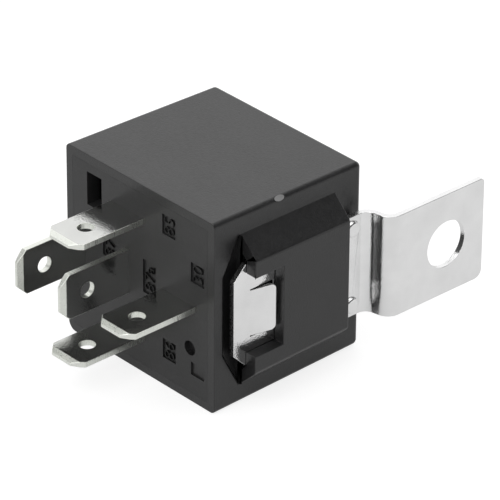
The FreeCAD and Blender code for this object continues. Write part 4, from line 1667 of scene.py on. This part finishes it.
@dataclass(frozen=True)
class Lamp:
    """One soft square lamp, aimed at the relay."""

    name: str
    place: Triple
    side: float
    power: float

    def add(self, target: Vector) -> None:
        """Hangs the lamp and turns it to the target.

        Args:
            target: The point that it is aimed at.
        """
        data = bpy.data.lights.new(self.name, "AREA")
        data.shape = "SQUARE"
        data.size = self.side
        data.energy = self.power
        lamp = bpy.data.objects.new(self.name, data)
        lamp.location = self.place
        lamp.rotation_euler = (target - Vector(self.place)).to_track_quat("-Z", "Y").to_euler()
        bpy.context.scene.collection.objects.link(lamp)


@dataclass
class Studio:
    """Plain pale floor, white surroundings, soft lamps and the photograph's camera."""

    floor_half: float = 1.6
    floor_color: float = 0.34
    floor_roughness: float = 0.9
    floor_lift: float = 0.815
    floor_gloss_lift: float = 0.415
    dark_side: Triple = (0.56, -0.36, 0.745)
    dark_side_edge: Pair = (0.04, 0.24)
    horizon_edge: Pair = (0.02, 0.2)
    dark_level: float = 0.09
    lamps: tuple[Lamp, ...] = (
        Lamp("top_lamp", (-0.03, -0.1, 0.95), 1.4, 8.0),
        Lamp("front_lamp", (-0.06, -0.62, 0.72), 0.4, 1.1),
        Lamp("camera_lamp", (0.45, -0.72, 0.52), 0.5, 1.2),
    )
    azimuth: float = 47.84779
    elevation: float = 30.01119
    roll: float = 0.405954
    camera_place: Triple = (0.360231, -0.307626, 0.277651)
    focal_length: float = 318.07
    sensor: float = 36.0
    nearest_seen: float = 0.01

    @staticmethod
    def lit_for(nodes: Nodes, camera: float, gloss: float) -> Socket:
        """Gives one level to what the camera sees and one to what a gloss or a glass shows.

        Args:
            nodes: The tree to work in.
            camera: The level that the camera sees.
            gloss: The level that a gloss or a glass shows.

        Returns:
            The level.
        """
        path = nodes.add("ShaderNodeLightPath").outputs
        mirrored = nodes.reckon(Reckoning.LARGER, path["Is Glossy Ray"],
                                path["Is Transmission Ray"])
        return nodes.reckon(Reckoning.SUM, nodes.reckon(Reckoning.PRODUCT, mirrored, gloss),
                            nodes.reckon(Reckoning.PRODUCT, path["Is Camera Ray"], camera))

    def lay_floor(self) -> None:
        """Lays the floor under the lowest point of the relay."""
        bpy.ops.object.select_all(action="DESELECT")
        bpy.ops.mesh.primitive_plane_add(size=2 * self.floor_half, location=(0.0, 0.0, cad_low[2]))
        floor = bpy.context.active_object
        floor.name = "floor"
        recipe = Recipe("pale_floor", Base_Color=(*[self.floor_color] * 3, 1.0),
                        Roughness=self.floor_roughness, Specular_IOR_Level=0.0,
                        Emission_Color=WHITE)
        recipe.join(self.lit_for(recipe, self.floor_lift, self.floor_gloss_lift),
                    recipe.shader.inputs["Emission Strength"])
        floor.data.materials.append(recipe.material)

    def surround(self) -> None:
        """Sets a surround that is white on one side and all round the horizon, dark elsewhere."""
        world = bpy.data.worlds.new("white_studio")
        bpy.context.scene.world = world
        world.use_nodes = True
        nodes = Nodes(world.node_tree)
        background = nodes.tree.nodes["Background"]
        background.inputs["Color"].default_value = WHITE
        place = nodes.add("ShaderNodeTexCoord").outputs["Generated"]
        level = self.lit_for(nodes, 1.0, 0.0)
        for axis, edge in ((self.dark_side, self.dark_side_edge), (Z, self.horizon_edge)):
            height = nodes.add("ShaderNodeVectorMath", operation="DOT_PRODUCT")
            height.inputs[1].default_value = axis
            nodes.join(place, height.inputs[0])
            fade = nodes.spread(height.outputs["Value"], edge, (1.0, self.dark_level), soft=True)
            level = nodes.reckon(Reckoning.LARGER, fade, level)
        nodes.join(level, background.inputs["Strength"])

    def hang_lamps(self) -> None:
        """Hangs the soft lamps round the relay."""
        for lamp in self.lamps:
            lamp.add((Vector(cad_low) + Vector(cad_high)) / 2)

    def set_camera(self) -> None:
        """Sets the camera where the photograph was taken from."""
        turn, tilt, lean = (math.radians(angle) for angle in (self.azimuth, self.elevation,
                                                              self.roll))
        back = Vector((math.sin(turn) * math.cos(tilt), -math.cos(turn) * math.cos(tilt),
                       math.sin(tilt)))
        level_right = Vector((math.cos(turn), math.sin(turn), 0.0))
        level_up = back.cross(level_right)
        right = level_right * math.cos(lean) + level_up * math.sin(lean)
        up = level_up * math.cos(lean) - level_right * math.sin(lean)
        data = bpy.data.cameras.new("photo_camera")
        data.lens = self.focal_length
        data.sensor_width = self.sensor
        data.clip_start = self.nearest_seen
        camera = bpy.data.objects.new("photo_camera", data)
        axes = Matrix((right, up, back)).transposed().to_4x4()
        camera.matrix_world = Matrix.Translation(self.camera_place) @ axes
        bpy.context.scene.collection.objects.link(camera)
        bpy.context.scene.camera = camera

    def build(self) -> None:
        """Sets up the whole studio."""
        bpy.context.scene.view_settings.view_transform = "Standard"
        self.lay_floor()
        self.surround()
        self.hang_lamps()
        self.set_camera()


def main() -> None:
    """Builds the relay's pieces in order, then the studio."""
    logging.basicConfig(level=logging.INFO, format="%(name)s %(message)s")
    finishes = Finishes()
    terminals = (
        CoilTerminal("terminal_85", finishes),
        CoilTerminal("terminal_86", finishes),
        CommonTerminal("terminal_30", finishes),
        OpenTerminal("terminal_87", finishes, Stand.UPRIGHT),
        ClosedTerminal("terminal_87a", finishes, Stand.UPRIGHT),
    )
    Cover(finishes).build()
    BasePlate(finishes, terminals).build()
    for terminal in terminals:
        terminal.build()
    MountingBracket(finishes).build()
    CoilMagnet(finishes).build()
    ContactGroup(finishes).build()
    SuppressionResistor(finishes).build()
    Studio().build()


if __name__ == "__main__":
    main()
